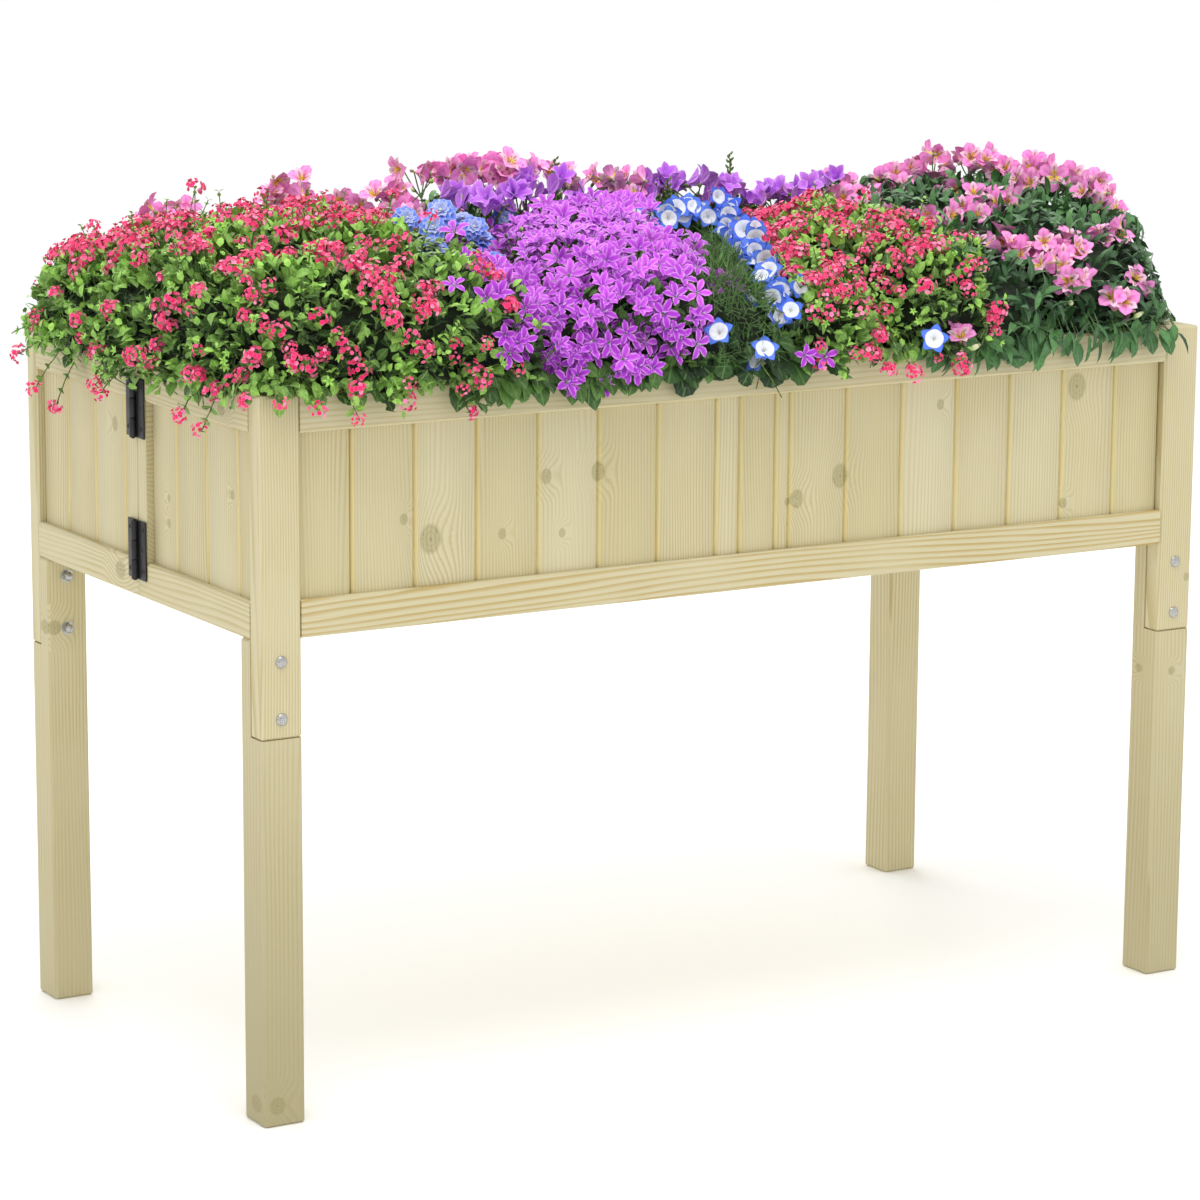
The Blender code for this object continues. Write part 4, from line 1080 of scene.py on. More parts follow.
@dataclass
class Ironmongery:
    """The carriage bolts with their cap nuts, and the black butt hinges with their screws."""

    head_radius: float = 0.0068
    head_height: float = 0.0034
    nut_radius: float = 0.0064
    nut_height: float = 0.0096
    plate: float = 0.002
    knuckle: float = 0.0042
    pin: float = 0.0016
    leaf_height: float = 0.066
    leaf_width: float = 0.0225
    face: float = 0.6153

    def build_bolt(self, node: str, steel: Material) -> None:
        """Turn a round-headed bolt with its shank, washer and cap nut, in the place of a packed one.

        Args:
            node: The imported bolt.
            steel: Its finish.
        """
        low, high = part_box(node)
        length = high.y - low.y
        head = [(self.head_radius * math.cos(a), self.head_height * (1 - math.sin(a)))
                for a in np.linspace(math.pi / 2 * 0.97, 0, 8)]
        head.append((0.0035, self.head_height + 0.0001))
        nut_start = length - self.nut_height
        body = turned(head + [(0.0034, nut_start - 0.0012), (0.0078, nut_start - 0.0011), (0.0078, nut_start)], 24)
        hexagon = turned([(self.nut_radius, nut_start), (self.nut_radius, nut_start + 0.0045)], 6)
        cap = turned([(0.0054, nut_start + 0.0045)]
                     + [(0.0054 * math.cos(a), nut_start + 0.0046 + 0.005 * math.sin(a))
                        for a in np.linspace(0.1, math.pi / 2 * 0.97, 6)], 18)
        outward = math.copysign(1.0, low.y + high.y)
        start = Vector(((low.x + high.x) / 2, high.y if outward > 0 else low.y, (low.z + high.z) / 2))
        way = Matrix.Translation(start) @ Matrix.Rotation(math.pi / 2 * outward, 4, "X")
        piece = Swarm()
        single(piece, Form.joined([body, hexagon, cap]).moved(way))
        piece.build(f"{node}_turned", [steel], "zinc_steel", node)

    def screw(self) -> Form:
        """Model a countersunk screw head with a cross slot."""
        head = turned([(0.003, 0.0), (0.0031, 0.0003), (0.0024, 0.0007), (0.001, 0.0009)], 16)
        # The cross slot is a thin raised cross whose near-black finish is painted shadow.
        slots = [plank(size, (0, 0, 0.00085), 1) for size in ((0.0034, 0.0008, 0.0003), (0.0008, 0.0034, 0.0003))]
        return Form.joined([head, *slots])

    def build_hinge(self, end: str, level: str, black: Material, dark: Material) -> None:
        """Build the two leaves of a butt hinge: the rear leaf carries two knuckles and the pin.

        Args:
            end: left or right.
            level: lower or upper.
            black: The finish of the leaves.
            dark: The finish of the screws' cross slots, near-black painted shadow.
        """
        low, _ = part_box(f"{end}_hinge_{level}_front_leaf")
        spin = 0.0 if end == "left" else math.pi
        axis_x = -(self.face + self.knuckle)
        third = self.leaf_height / 3
        for half in ("front", "rear"):
            side = -1.0 if half == "front" else 1.0
            leaf_span = self.leaf_width - 0.001
            centre = (-(self.face + self.plate / 2), side * (0.001 + leaf_span / 2), self.leaf_height / 2)
            parts = [plank((self.plate, leaf_span, self.leaf_height), centre, 0, 0.0006)]
            for k in (1,) if half == "front" else (0, 2):
                barrel = turned([(self.knuckle * 0.9, 0.0003), (self.knuckle, 0.0009),
                                 (self.knuckle, third - 0.0009), (self.knuckle * 0.9, third - 0.0003)], 20)
                parts.append(barrel.moved(Matrix.Translation((axis_x, 0, k * third))))
            if half == "rear":
                pin = turned([(self.pin * 1.4, -0.0009), (self.pin, -0.0002), (self.pin, self.leaf_height + 0.0002),
                              (self.pin * 1.4, self.leaf_height + 0.0009)], 14)
                parts.append(pin.moved(Matrix.Translation((axis_x, 0, 0))))
            for k, height in enumerate((0.01, 0.033, 0.056)):
                place = (-(self.face + self.plate), side * (0.0125 if k == 1 else 0.0165), height)
                way = (Matrix.Translation(place) @ Matrix.Rotation(-math.pi / 2, 4, "Y")
                       @ Matrix.Rotation(0.5 + k, 4, "Z"))
                parts.append(self.screw().moved(way))
            turn = Matrix.Rotation(spin, 4, "Z")
            piece = Swarm()
            single(piece, Form.joined(parts).moved(Matrix.Translation((0, 0, low.z)) @ turn))
            named = half if end == "left" else {"front": "rear", "rear": "front"}[half]
            piece.build(f"{end}_hinge_{level}_{named}_leaf_screwed", [black, dark], "black_steel",
                        f"{end}_hinge_{level}_{named}_leaf")

    def build(self) -> None:
        """Build the bolts and hinges."""
        steel = Speckled("zinc_plated_steel", (150, 150, 148), (205, 205, 202), 900.0, 0.28, 0.9).make()
        black = Speckled("black_steel", (16, 16, 17), (40, 40, 42), 1100.0, 0.38, 0.2, 0.0003, 0.25).make()
        dark = Speckled("slot_shadow", (4, 4, 4), (12, 12, 12), 900.0, 0.7).make()
        for node in [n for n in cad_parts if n.startswith("bolt_")]:
            self.build_bolt(node, steel)
        for end in ("left", "right"):
            for level in ("lower", "upper"):
                self.build_hinge(end, level, black, dark)


@dataclass
class Filling:
    """What the box holds under the plants: the cloth liner and the soil."""

    cloth: float = 0.0012
    lump: float = 0.006
    wrinkle: float = 0.0011

    def build_liner(self) -> None:
        """Model the liner as an open tray of cloth with soft wrinkles, and give it its thickness."""
        low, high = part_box("liner")
        middle = (low + high) / 2
        span = high - low
        deselect()
        bpy.ops.mesh.primitive_cube_add(size=1.0, location=middle)
        open_all()
        bpy.ops.transform.resize(value=(span.x - 0.003, span.y - 0.003, span.z - 0.002), center_override=middle)
        pick("EDGE", lambda part, centre: abs(centre.z) < 0.01 and abs(centre.x) > 0.4 and abs(centre.y) > 0.2)
        bpy.ops.mesh.bevel(offset=0.014, segments=3, affect="EDGES")
        pick("FACE", lambda part, centre: part.normal.z > 0.9)
        bpy.ops.mesh.delete(type="FACE")
        bpy.ops.mesh.select_all(action="SELECT")
        bpy.ops.mesh.subdivide(number_cuts=12)
        bpy.ops.object.mode_set(mode="OBJECT")
        liner = bpy.context.object
        bpy.ops.object.transform_apply(location=True, rotation=True, scale=True)
        for vertex in liner.data.vertices:
            inward = Vector((-vertex.co.x / abs(vertex.co.x or 1), -vertex.co.y / abs(vertex.co.y or 1), 0))
            crease = noise.noise(Vector((vertex.co.x * 38, vertex.co.y * 38, vertex.co.z * 9))) * self.wrinkle
            vertex.co += inward * (crease * 0.5 - self.wrinkle * 0.2)
        bpy.ops.object.modifier_add(type="SOLIDIFY")
        liner.modifiers[-1].thickness = self.cloth
        liner.modifiers[-1].offset = -1.0
        bpy.ops.object.modifier_apply(modifier=liner.modifiers[-1].name)
        liner.data.materials.append(Woven("liner_cloth").make())
        settle(liner, "liner_tray", "liner")

    def build_soil(self) -> None:
        """Model the soil: a fine grid with lumps and crumbs on top, drawn down to a flat underside."""
        low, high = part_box("soil")
        middle = (low + high) / 2
        deselect()
        bpy.ops.mesh.primitive_grid_add(x_subdivisions=104, y_subdivisions=48, size=1.0, location=middle)
        open_all()
        bpy.ops.transform.resize(value=(high.x - low.x - 0.002, high.y - low.y - 0.002, 1), center_override=middle)
        bpy.ops.mesh.extrude_region_move(TRANSFORM_OT_translate={"value": (0, 0, high.z - low.z - 0.001)})
        bpy.ops.mesh.select_all(action="SELECT")
        bpy.ops.transform.translate(value=(0, 0, low.z - middle.z))
        bpy.ops.mesh.normals_make_consistent(inside=False)
        bpy.ops.object.mode_set(mode="OBJECT")
        soil = bpy.context.object
        bpy.ops.object.transform_apply(location=True, rotation=True, scale=True)
        for vertex in soil.data.vertices:
            if vertex.co.z > high.z - 0.01:
                lumps = noise.noise(vertex.co * 45) + 0.6 * noise.noise(vertex.co * 130)
                vertex.co.z = high.z - self.lump * 0.5 * (1 + lumps * 0.6)
        soil.data.materials.append(Speckled("potting_soil", (30, 20, 12), (84, 60, 40), 160.0, 0.9,
                                            depth=0.004, strength=0.8).make())
        settle(soil, "soil_crumbled", "soil")

    def build(self) -> None:
        """Build the liner and the soil."""
        self.build_liner()
        self.build_soil()


@dataclass
class Studio:
    """A pale floor, soft light from above and the front, and the camera."""

    place: Vec = (-2.5052, -4.1438, 1.4145)
    yaw: float = 0.5395
    pitch: float = 0.1939
    roll: float = 0.0061
    lens: float = 125.751

    def build_camera(self) -> None:
        """Place the camera by the direction it looks in."""
        forward = Vector((math.sin(self.yaw) * math.cos(self.pitch), math.cos(self.yaw) * math.cos(self.pitch),
                          -math.sin(self.pitch)))
        right = Vector((math.cos(self.yaw), -math.sin(self.yaw), 0))
        up = right.cross(forward)
        side = right * math.cos(self.roll) + up * math.sin(self.roll)
        top = up * math.cos(self.roll) - right * math.sin(self.roll)
        camera = bpy.data.objects.new("camera", bpy.data.cameras.new("camera"))
        bpy.context.scene.collection.objects.link(camera)
        camera.data.lens = self.lens
        camera.data.sensor_width = 36.0
        camera.data.clip_end = 100.0
        turn = Matrix((side, top, -forward)).transposed().to_4x4()
        camera.matrix_world = Matrix.Translation(self.place) @ turn
        bpy.context.scene.camera = camera

    def add_light(self, name: str, place: Vec, size: float, power: float, colour: Vec = (1, 1, 1)) -> None:
        """Add a square area light that faces the planting.

        Args:
            name: Its name.
            place: Where it stands.
            size: Length of its side.
            power: Its power in watts.
            colour: Its colour.
        """
        lamp = bpy.data.objects.new(name, bpy.data.lights.new(name, "AREA"))
        bpy.context.scene.collection.objects.link(lamp)
        lamp.data.size = size
        lamp.data.energy = power
        lamp.data.color = colour
        aim = Vector((0, 0, 0.7)) - Vector(place)
        lamp.matrix_world = Matrix.Translation(place) @ aim.to_track_quat("-Z", "Y").to_matrix().to_4x4()

    def build(self) -> None:
        """Set up the floor, the light and the camera."""
        deselect()
        bpy.ops.mesh.primitive_plane_add(size=60.0)
        floor = bpy.context.object
        floor.name = "floor"
        floor.data.materials.append(Surface("floor", roughness=0.9).done((253, 253, 253)))
        world = bpy.data.worlds.new("soft_light")
        world.use_nodes = True
        world.node_tree.nodes["Background"].inputs["Color"].default_value = (1.0, 1.0, 1.0, 1.0)
        world.node_tree.nodes["Background"].inputs["Strength"].default_value = 1.02
        bpy.context.scene.world = world
        self.add_light("key", (-0.8, -1.3, 4.2), 1.8, 58.0, (1.0, 0.99, 0.97))
        self.add_light("back", (0.8, 3.0, 3.0), 2.6, 40.0)
        bpy.context.scene.view_settings.view_transform = "Standard"
        self.build_camera()


# ---- the planting

@dataclass
class Canopy:
    """The joint leaf canopy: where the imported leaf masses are, and how far the planting may reach."""

    plants: tuple[str, ...] = ("lantana_left", "alstroemeria_rear", "double_bellflower", "campanula",
                               "tall_bellflower", "nemophila", "lantana_right", "alstroemeria_right")
    low: Vec = (-0.712, -0.36, 0.6)
    high: Vec = (0.703, 0.361, 1.003)
    timber: Vec = (0.6165, 0.3015, RIM)
    inner: Span = (0.585, 0.27)
    mouth: Vec = (0.6, 0.285, 0.786)
    bend: float = 0.59
    drawn: Span = (0.55, 0.5)
    left_line: Vec = (-0.733, 0.44, 0.45)
    right_line: Vec = (0.782, 0.79, -0.5)
    slack: float = 0.014
    lift: float = 0.02
    sunward: Vec = (-0.5, -0.83, 0.22)
    plots: dict[str, tuple[Vec, ...]] = field(default_factory=lambda: dict(
        lantana_left=((-1, -0.268, 0.25),), campanula=((1, -0.268, 0.25), (-1, 0.026, 0.3)),
        nemophila=((1, 0.026, 0.3), (-1, 0.171, 0.45)), lantana_right=((1, 0.171, 0.45), (-1, 0.324, 0.114)),
        alstroemeria_right=((1, 0.324, 0.114),)))
    joint: float = 0.1
    apart: float = 0.03
    openings: list[tuple[str, np.ndarray, float]] = field(default_factory=list)
    triangles: dict[str, tuple[np.ndarray, np.ndarray]] = field(default_factory=dict)
    trees: dict[str, BVHTree] = field(default_factory=dict)

    def __post_init__(self) -> None:
        """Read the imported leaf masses."""
        for plant in self.plants:
            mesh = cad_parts[f"{plant}_foliage"].data
            mesh.calc_loop_triangles()
            points = np.array([v.co for v in mesh.vertices], float)
            faces = np.array([t.vertices for t in mesh.loop_triangles], int)
            self.triangles[plant] = (points, faces)
            self.trees[plant] = BVHTree.FromPolygons([Vector(p) for p in points], faces.tolist())

    def ends(self, places: np.ndarray) -> tuple[np.ndarray, np.ndarray]:
        """How far the planting may reach at each place towards the left and the right end."""
        return tuple(line[0] + line[1] * places[..., 1] + line[2] * (places[..., 2] - 0.83)
                     for line in (self.left_line, self.right_line))

    def tuck(self, places: np.ndarray) -> np.ndarray:
        """Draw in what hangs over the two ends, and keep it clear of the timber.

        Args:
            places: The places.

        Returns:
            The places, drawn in where they hang over.
        """
        x, low = places[:, 0], places[:, 2] < 0.79
        over = np.abs(x) - self.bend
        share = np.where(x < 0, self.drawn[0], self.drawn[1])
        drawn = np.where(over > 0, np.sign(x) * (self.bend + over * share), x)
        left, right = self.ends(places)
        drawn = np.clip(drawn, left, right)
        clear = low & (np.abs(x) > self.timber[0]) & (np.abs(drawn) < self.timber[0] + 0.001)
        moved = places.copy()
        moved[:, 0] = np.where(clear, np.sign(x) * (self.timber[0] + 0.001), drawn)
        return moved

    def keep_free(self, plant: str, places: Iterable[Vec], radius: float) -> None:
        """Keep other plants' leaves and flowers off a plant's own flowers, on their sunny side."""
        self.openings += [(plant, np.array(place), radius) for place in places]

    def in_plot(self, plant: str, places: np.ndarray) -> np.ndarray:
        """Say which places lie within a plant's own plot.

        Args:
            plant: The plant.
            places: The places.

        Returns:
            Whether each place is within it.
        """
        inside = np.ones(len(places), bool)
        for side, start, slope in self.plots.get(plant, ()):
            inside &= (places[:, 0] - start - slope * places[:, 1]) * side > 0
        return inside

    def gather(self, plant: str) -> tuple[np.ndarray, np.ndarray]:
        """Gather the triangles that a plant grows on: its own mass and, towards its plot's edges, its neighbours'.

        Args:
            plant: The plant.

        Returns:
            The triangles' corners, and the number of the plant whose mass each is part of.
        """
        order = list(self.plots)
        near = [plant]
        if plant in order:
            here = order.index(plant)
            near += order[max(here - 1, 0):here] + order[here + 1:here + 2]
        corners, owners = [], []
        for name in near:
            points, faces = self.triangles[name]
            mass = points[faces]
            middle = mass.mean(axis=1)
            rear = middle[:, 1] > self.joint
            held = (self.in_plot(plant, middle) & ~rear) | (rear & (name == plant))
            corners.append(mass[held])
            owners.append(np.full(held.sum(), self.plants.index(name)))
        return np.concatenate(corners), np.concatenate(owners)

    def shut_out(self, plant: str, places: np.ndarray, own: bool = False) -> np.ndarray:
        """Say which places of a plant lie in front of flowers that are kept free.

        Args:
            plant: The plant.
            places: The places.
            own: Whether the plant's own flowers count too.

        Returns:
            Whether each place is shut out.
        """
        hidden = np.zeros(len(places), bool)
        way = unit(np.array([self.sunward]))[0]
        for owner, centre, radius in self.openings:
            if own or owner != plant:
                ahead = np.clip((places - centre) @ way, 0, 0.05)
                hidden |= np.linalg.norm(places - centre - ahead[:, None] * way, axis=1) < radius
        return hidden

    def rest(self, placed: np.ndarray) -> np.ndarray:
        """Lift copies that dip a little into the timber until they rest on it.

        Args:
            placed: The copies' points, as (copies, points, 3).

        Returns:
            The points, lifted where a copy dips.
        """
        size = np.abs(placed)
        over = (size[..., 0] < self.timber[0]) & (size[..., 1] < self.timber[1])
        pocket = (size[..., 0] < self.inner[0]) & (size[..., 1] < self.inner[1])
        dip = np.where(over & ~pocket, self.timber[2] - placed[..., 2], 0.0).max(axis=1)
        lift = np.where((dip > 0) & (dip < self.lift), dip + 0.0003, 0.0)
        return placed + np.stack([lift * 0, lift * 0, lift], axis=1)[:, None, :]

    def keep(self, placed: np.ndarray) -> np.ndarray:
        """Say which copies stay clear of the timber and within reach.

        Args:
            placed: The copies' points, as (copies, points, 3).

        Returns:
            Whether each copy may stay.
        """
        size = np.abs(placed)
        in_box = ((size[..., 0] < self.timber[0]) & (size[..., 1] < self.timber[1])
                  & (placed[..., 2] < self.timber[2]))
        in_pocket = (size[..., 0] < self.inner[0]) & (size[..., 1] < self.inner[1])
        low = (placed >= np.array(self.low)).all(axis=(1, 2))
        high = (placed <= np.array(self.high)).all(axis=(1, 2))
        left, right = self.ends(placed)
        slack = self.slack + 0.5 * np.clip(BROW - placed[..., 2], 0, 0.1)
        within = ((placed[..., 0] > left - slack) & (placed[..., 0] < right + slack)).all(axis=1)
        return ~(in_box & ~in_pocket).any(axis=1) & low & high & within

    def top(self, x: float, y: float) -> float:
        """Height of the canopy about a plan point.

        Args:
            x: Its place along the bed.
            y: Its place across the bed.

        Returns:
            The height.
        """
        heights = [BROW]
        for shift_x, shift_y in ((0, 0), (0.02, 0), (-0.02, 0), (0, 0.02), (0, -0.02)):
            start = Vector((x + shift_x, y + shift_y, 1.2))
            found = [tree.ray_cast(start, Vector((0, 0, -1)))[0] for tree in self.trees.values()]
            heights += [hit.z for hit in found if hit is not None]
        return max(heights)

    def sample(self, plant: str, count: int, rng: np.random.Generator, depth: Span,
               lumps: float = 16.0, own: bool = False) -> tuple[np.ndarray, np.ndarray, np.ndarray]:
        """Scatter points over the outside of one plant's lumpy mass.

        Args:
            plant: The plant.
            count: How many points.
            rng: Source of chance.
            depth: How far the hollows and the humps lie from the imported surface.
            lumps: How many humps there are to a metre.
            own: Whether the plant's own kept flowers are left clear too.

        Returns:
            The points, their outward directions and how far out each is, from 0 to 1.
        """
        corners, owners = self.gather(plant)
        normals = np.cross(corners[:, 1] - corners[:, 0], corners[:, 2] - corners[:, 0])
        areas = np.linalg.norm(normals, axis=1) / 2
        normals = unit(normals)
        centres = corners.mean(axis=1)
        pocket = (np.abs(centres[:, :2]) < self.mouth[:2]).all(axis=1) & (centres[:, 2] < self.mouth[2])
        areas = np.where((normals[:, 2] < -0.25) | pocket, 0.0, areas)
        chosen = rng.choice(len(corners), size=int(count * 2.4), p=areas / areas.sum())
        first, second = rng.random((2, len(chosen), 1))
        fold = first + second > 1
        first, second = np.where(fold, 1 - first, first), np.where(fold, 1 - second, second)
        triangle = corners[chosen]
        places = triangle[:, 0] * (1 - first - second) + triangle[:, 1] * first + triangle[:, 2] * second
        core = np.array([*self.triangles[plant][0].mean(axis=0)[:2], 0.78])
        outward = unit(normals[chosen] * 0.9 + unit(places - core) * 0.7)
        kept = []
        trees = [self.trees[name] for name in self.plants]
        owners = owners[chosen]
        for k, (place, way) in enumerate(zip(places, outward)):
            start, aim = Vector(place + way * 0.002), Vector(way)
            if not any(tree.ray_cast(start, aim, self.apart)[0] for n, tree in enumerate(trees) if n != owners[k]):
                kept.append(k)
            if len(kept) == count:
                break
        places, outward = self.tuck(places[kept]), outward[kept]
        humps = np.array([noise.noise(Vector(p * lumps)) + 0.45 * noise.noise(Vector(p * lumps * 2.7))
                          for p in places])
        out = np.clip(humps * 0.62 + 0.5, 0, 1)
        places = places + outward * (depth[0] + (depth[1] - depth[0]) * out)[:, None]
        seen = ~self.shut_out(plant, places, own)
        return places[seen], outward[seen], out[seen]


def strut_axes(feet: np.ndarray, tips: np.ndarray, thickness: np.ndarray, rng: np.random.Generator) -> np.ndarray:
    """Axes that stretch unit stalks from feet to tips, each turned its own way about its length.

    Args:
        feet: Where the stalks start.
        tips: Where they end.
        thickness: Their radii.
        rng: Source of chance.

    Returns:
        The axes as columns, as (copies, 3, 3).
    """
    along = tips - feet
    way = unit(along)
    helper = unit(rng.normal(size=along.shape))
    across = unit(np.cross(way, helper))
    third = np.cross(across, way)
    return np.stack([across * thickness[:, None], along, third * thickness[:, None]], axis=2)


class Edge(Enum):
    """A side of the box's rim: its outward direction and how far out its face is."""

    FRONT = ((0.0, -1.0), 0.3015)
    REAR = ((0.0, 1.0), 0.3015)
    LEFT = ((-1.0, 0.0), 0.6165)
    RIGHT = ((1.0, 0.0), 0.6165)


Rims = tuple[tuple[Edge, Span, int], ...]


@dataclass(frozen=True)
class Shades:
    """The greens of a plant: leaf in shade, leaf in light, vein, stem in shade and stem in light."""

    shade: Colour
    light: Colour
    vein: Colour
    stem_shade: Colour = (44, 66, 26)
    stem_light: Colour = (118, 146, 62)


class Bush:
    """One plant: its dark core of painted shade, leaves, blooms and stems, gathered and then built as four pieces."""

    def __init__(self, plant: str, canopy: Canopy, shades: Shades, seed: int, roughness: float = 0.46,
                 pairs: float = 5.0) -> None:
        """Prepare the plant's swarms and finishes.

        Args:
            plant: The plant's name.
            canopy: The canopy that it grows in.
            shades: Its greens.
            seed: Seed of its irregularity.
            roughness: How rough its leaves are.
            pairs: How many pairs of veins a leaf has.
        """
        self.plant = plant
        self.canopy = canopy
        self.rng = np.random.default_rng(seed)
        self.leaves = Swarm(canopy)
        self.blooms = Swarm(canopy)
        self.stems = Swarm(canopy)
        self.leaf_finish = Leaf(f"{plant}_leaf", shades.shade, shades.light, shades.vein, pairs, roughness).make()
        self.stem_finish = Speckled(f"{plant}_stem", shades.stem_shade, shades.stem_light, 220.0, 0.55,
                                    depth=0.0006).make()
        self.core_finish = Speckled(f"{plant}_shade", (12, 22, 9), (34, 54, 20), 130.0, 0.8,
                                    depth=0.004, strength=0.9).make()
        self.stalk = stalk()

    def add_mixed(self, forms: Sequence[Form], feet: np.ndarray, growth: np.ndarray, upper: np.ndarray,
                  sizes: np.ndarray, tones: np.ndarray, sunk: float = 0.0) -> None:
        """Add leaves of mixed shapes.

        Args:
            forms: The leaf shapes to choose among.
            feet: The leaves' feet.
            growth: The ways that they grow.
            upper: The ways that their upper faces lean to.
            sizes: Their scales.
            tones: Their tones.
            sunk: Share of a leaf's length by which its foot is drawn back.
        """
        kinds = self.rng.integers(0, len(forms), len(feet))
        for kind, form in enumerate(forms):
            own = kinds == kind
            back = growth[own] * (sunk * form.points[:, 1].max() * sizes[own])[:, None]
            self.leaves.add(form, feet[own] - back, axes_from(growth[own], upper[own], sizes[own]), tones[own])

    def set_about(self, swarm: Swarm, form: Form, places: np.ndarray, facing: np.ndarray, size: Span,
                  tone: Span) -> None:
        """Set copies of a form on places, each facing its way, with its turn, size and tone by chance.

        Args:
            swarm: The swarm that takes them.
            form: The shape.
            places: Where they go.
            facing: The ways that they face.
            size: Smallest and largest scale.
            tone: Darkest and lightest tone.
        """
        count = len(places)
        axes = axes_about(facing, self.rng.uniform(0, 6, count), self.rng.uniform(*size, count))
        swarm.add(form, places, axes, self.rng.uniform(*tone, count))

    def scatter_leaves(self, forms: Sequence[Form], count: int, depth: Span, size: Span,
                       tone: Span, lean: Vec = (0.55, 0.35, 0.75), own: bool = False) -> None:
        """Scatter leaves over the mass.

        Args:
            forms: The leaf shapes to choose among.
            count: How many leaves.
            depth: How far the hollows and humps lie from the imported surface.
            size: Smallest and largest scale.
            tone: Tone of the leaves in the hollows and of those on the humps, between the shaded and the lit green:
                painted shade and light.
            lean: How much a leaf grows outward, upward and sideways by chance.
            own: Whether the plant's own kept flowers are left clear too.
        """
        rng = self.rng
        places, outward, out = self.canopy.sample(self.plant, count, rng, depth, own=own)
        drop = np.clip((BROW - places[:, 2]) / 0.03, 0, 1)[:, None]
        rise = UP * (lean[1] * (1 - drop) - 0.5 * drop)
        growth = unit(outward * lean[0] + rise + unit(rng.normal(size=places.shape)) * lean[2])
        upper = outward * 0.5 + UP * 0.75 + rng.normal(size=places.shape) * 0.28
        sizes = rng.uniform(*size, len(places))
        lit = tone[0] + (tone[1] - tone[0]) * out + 0.18 * outward[:, 2] + rng.normal(size=len(places)) * 0.16
        self.add_mixed(forms, places, growth, upper, sizes, np.clip(lit, 0, 1), 0.35)

    def hang(self, rims: Rims, *layers: tuple[Sequence[Form], Span, Span]) -> None:
        """Hang layers of leaves over stretches of the rim.

        Args:
            rims: Each stretch's side of the box, where it starts and ends, and its number of leaves.
            layers: Each layer's leaf shapes, smallest and largest scale, and darkest and lightest tone.
        """
        for edge, span, count in rims:
            for forms, size, tone in layers:
                self.hang_layer(edge, span, forms, count, size, tone)

    def hang_layer(self, edge: Edge, span: Span, forms: Sequence[Form], count: int, size: Span,
                   tone: Span) -> None:
        """Hang one layer of leaves over one stretch of the rim, as hang says.

        Args:
            edge: The side of the box.
            span: Where the stretch starts and ends along that side.
            forms: The leaf shapes to choose among.
            count: How many leaves.
            size: Smallest and largest scale.
            tone: Darkest and lightest tone.
        """
        rng = self.rng
        (way_x, way_y), face = edge.value
        way = np.array([way_x, way_y, 0.0])
        along = np.array([-way_y, way_x, 0.0])
        spread = rng.uniform(*span, count)[:, None] * (along if along.sum() > 0 else -along)
        feet = way * (face + rng.uniform(0.004, 0.016, count)[:, None]) + spread
        feet[:, 2] = RIM + rng.uniform(-0.006, 0.014, count)
        growth = unit(way * rng.uniform(0.16, 0.75, count)[:, None] + along * rng.normal(0, 0.55, count)[:, None]
                      - UP * rng.uniform(0.15, 1.6, count)[:, None])
        upper = unit(way * 0.9 + UP * 0.45 + rng.normal(size=(count, 3)) * 0.22)
        sizes = rng.uniform(*size, count)
        self.add_mixed(forms, feet, growth, upper, sizes, rng.uniform(*tone, count))
        self.add_stems(feet - way * 0.012 + UP * 0.014, feet + growth * 0.001, 0.0006, 0.5)

    def add_stems(self, feet: np.ndarray, tips: np.ndarray, thickness: float, tone: float = 0.5) -> None:
        """Add thin stems from feet to tips.

        Args:
            feet: Where they start.
            tips: Where they end.
            thickness: Their radius.
            tone: Their tone.
        """
        count = len(feet)
        if count:
            thick = np.full(count, thickness)
            self.stems.add(self.stalk, feet, strut_axes(feet, tips, thick, self.rng), np.full(count, tone))

    def core(self) -> None:
        """Model the plant's dark core, painted shade that stands in for the shadowed inside of the plant: its packed
        mass, remeshed, shrunken and roughened.
        """
        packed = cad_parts[f"{self.plant}_foliage"]
        deselect()
        piece = bpy.data.objects.new(f"{self.plant}_core", packed.data.copy())
        bpy.context.scene.collection.objects.link(piece)
        piece.data.materials.clear()
        bpy.context.view_layer.objects.active = piece
        piece.select_set(True)
        open_all()
        bpy.ops.mesh.remove_doubles(threshold=0.0001)
        bpy.ops.object.mode_set(mode="OBJECT")
        bpy.ops.object.modifier_add(type="REMESH")
        piece.modifiers[-1].mode = "VOXEL"
        piece.modifiers[-1].voxel_size = 0.015
        bpy.ops.object.modifier_apply(modifier=piece.modifiers[-1].name)
        normals = [v.normal.copy() for v in piece.data.vertices]
        tucked = self.canopy.tuck(np.array([v.co for v in piece.data.vertices], float))
        for vertex, normal, place in zip(piece.data.vertices, normals, tucked):
            vertex.co = place
            rough = noise.noise(vertex.co * 55)
            inside = vertex.co.z < 0.792
            vertex.co -= normal * (0.002 if inside else 0.011 + 0.007 * rough)
        bpy.ops.object.shade_smooth()
        piece.data.materials.append(self.core_finish)
        settle(piece, f"{self.plant}_branches", f"{self.plant}_foliage")

    def build(self, petals: Sequence[Material]) -> None:
        """Make the plant's pieces.

        Args:
            petals: The finishes of the blooms, in the order of their material slots.
        """
        self.core()
        self.leaves.build(f"{self.plant}_leaves", [self.leaf_finish, self.stem_finish], f"{self.plant}_foliage",
                          f"{self.plant}_foliage")
        self.blooms.build(f"{self.plant}_blooms", [*petals], f"{self.plant}_flowers",
                          f"{self.plant}_flowering_stems")
        self.stems.build(f"{self.plant}_stems", [self.stem_finish], f"{self.plant}_flowers",
                         f"{self.plant}_flowering_stems")


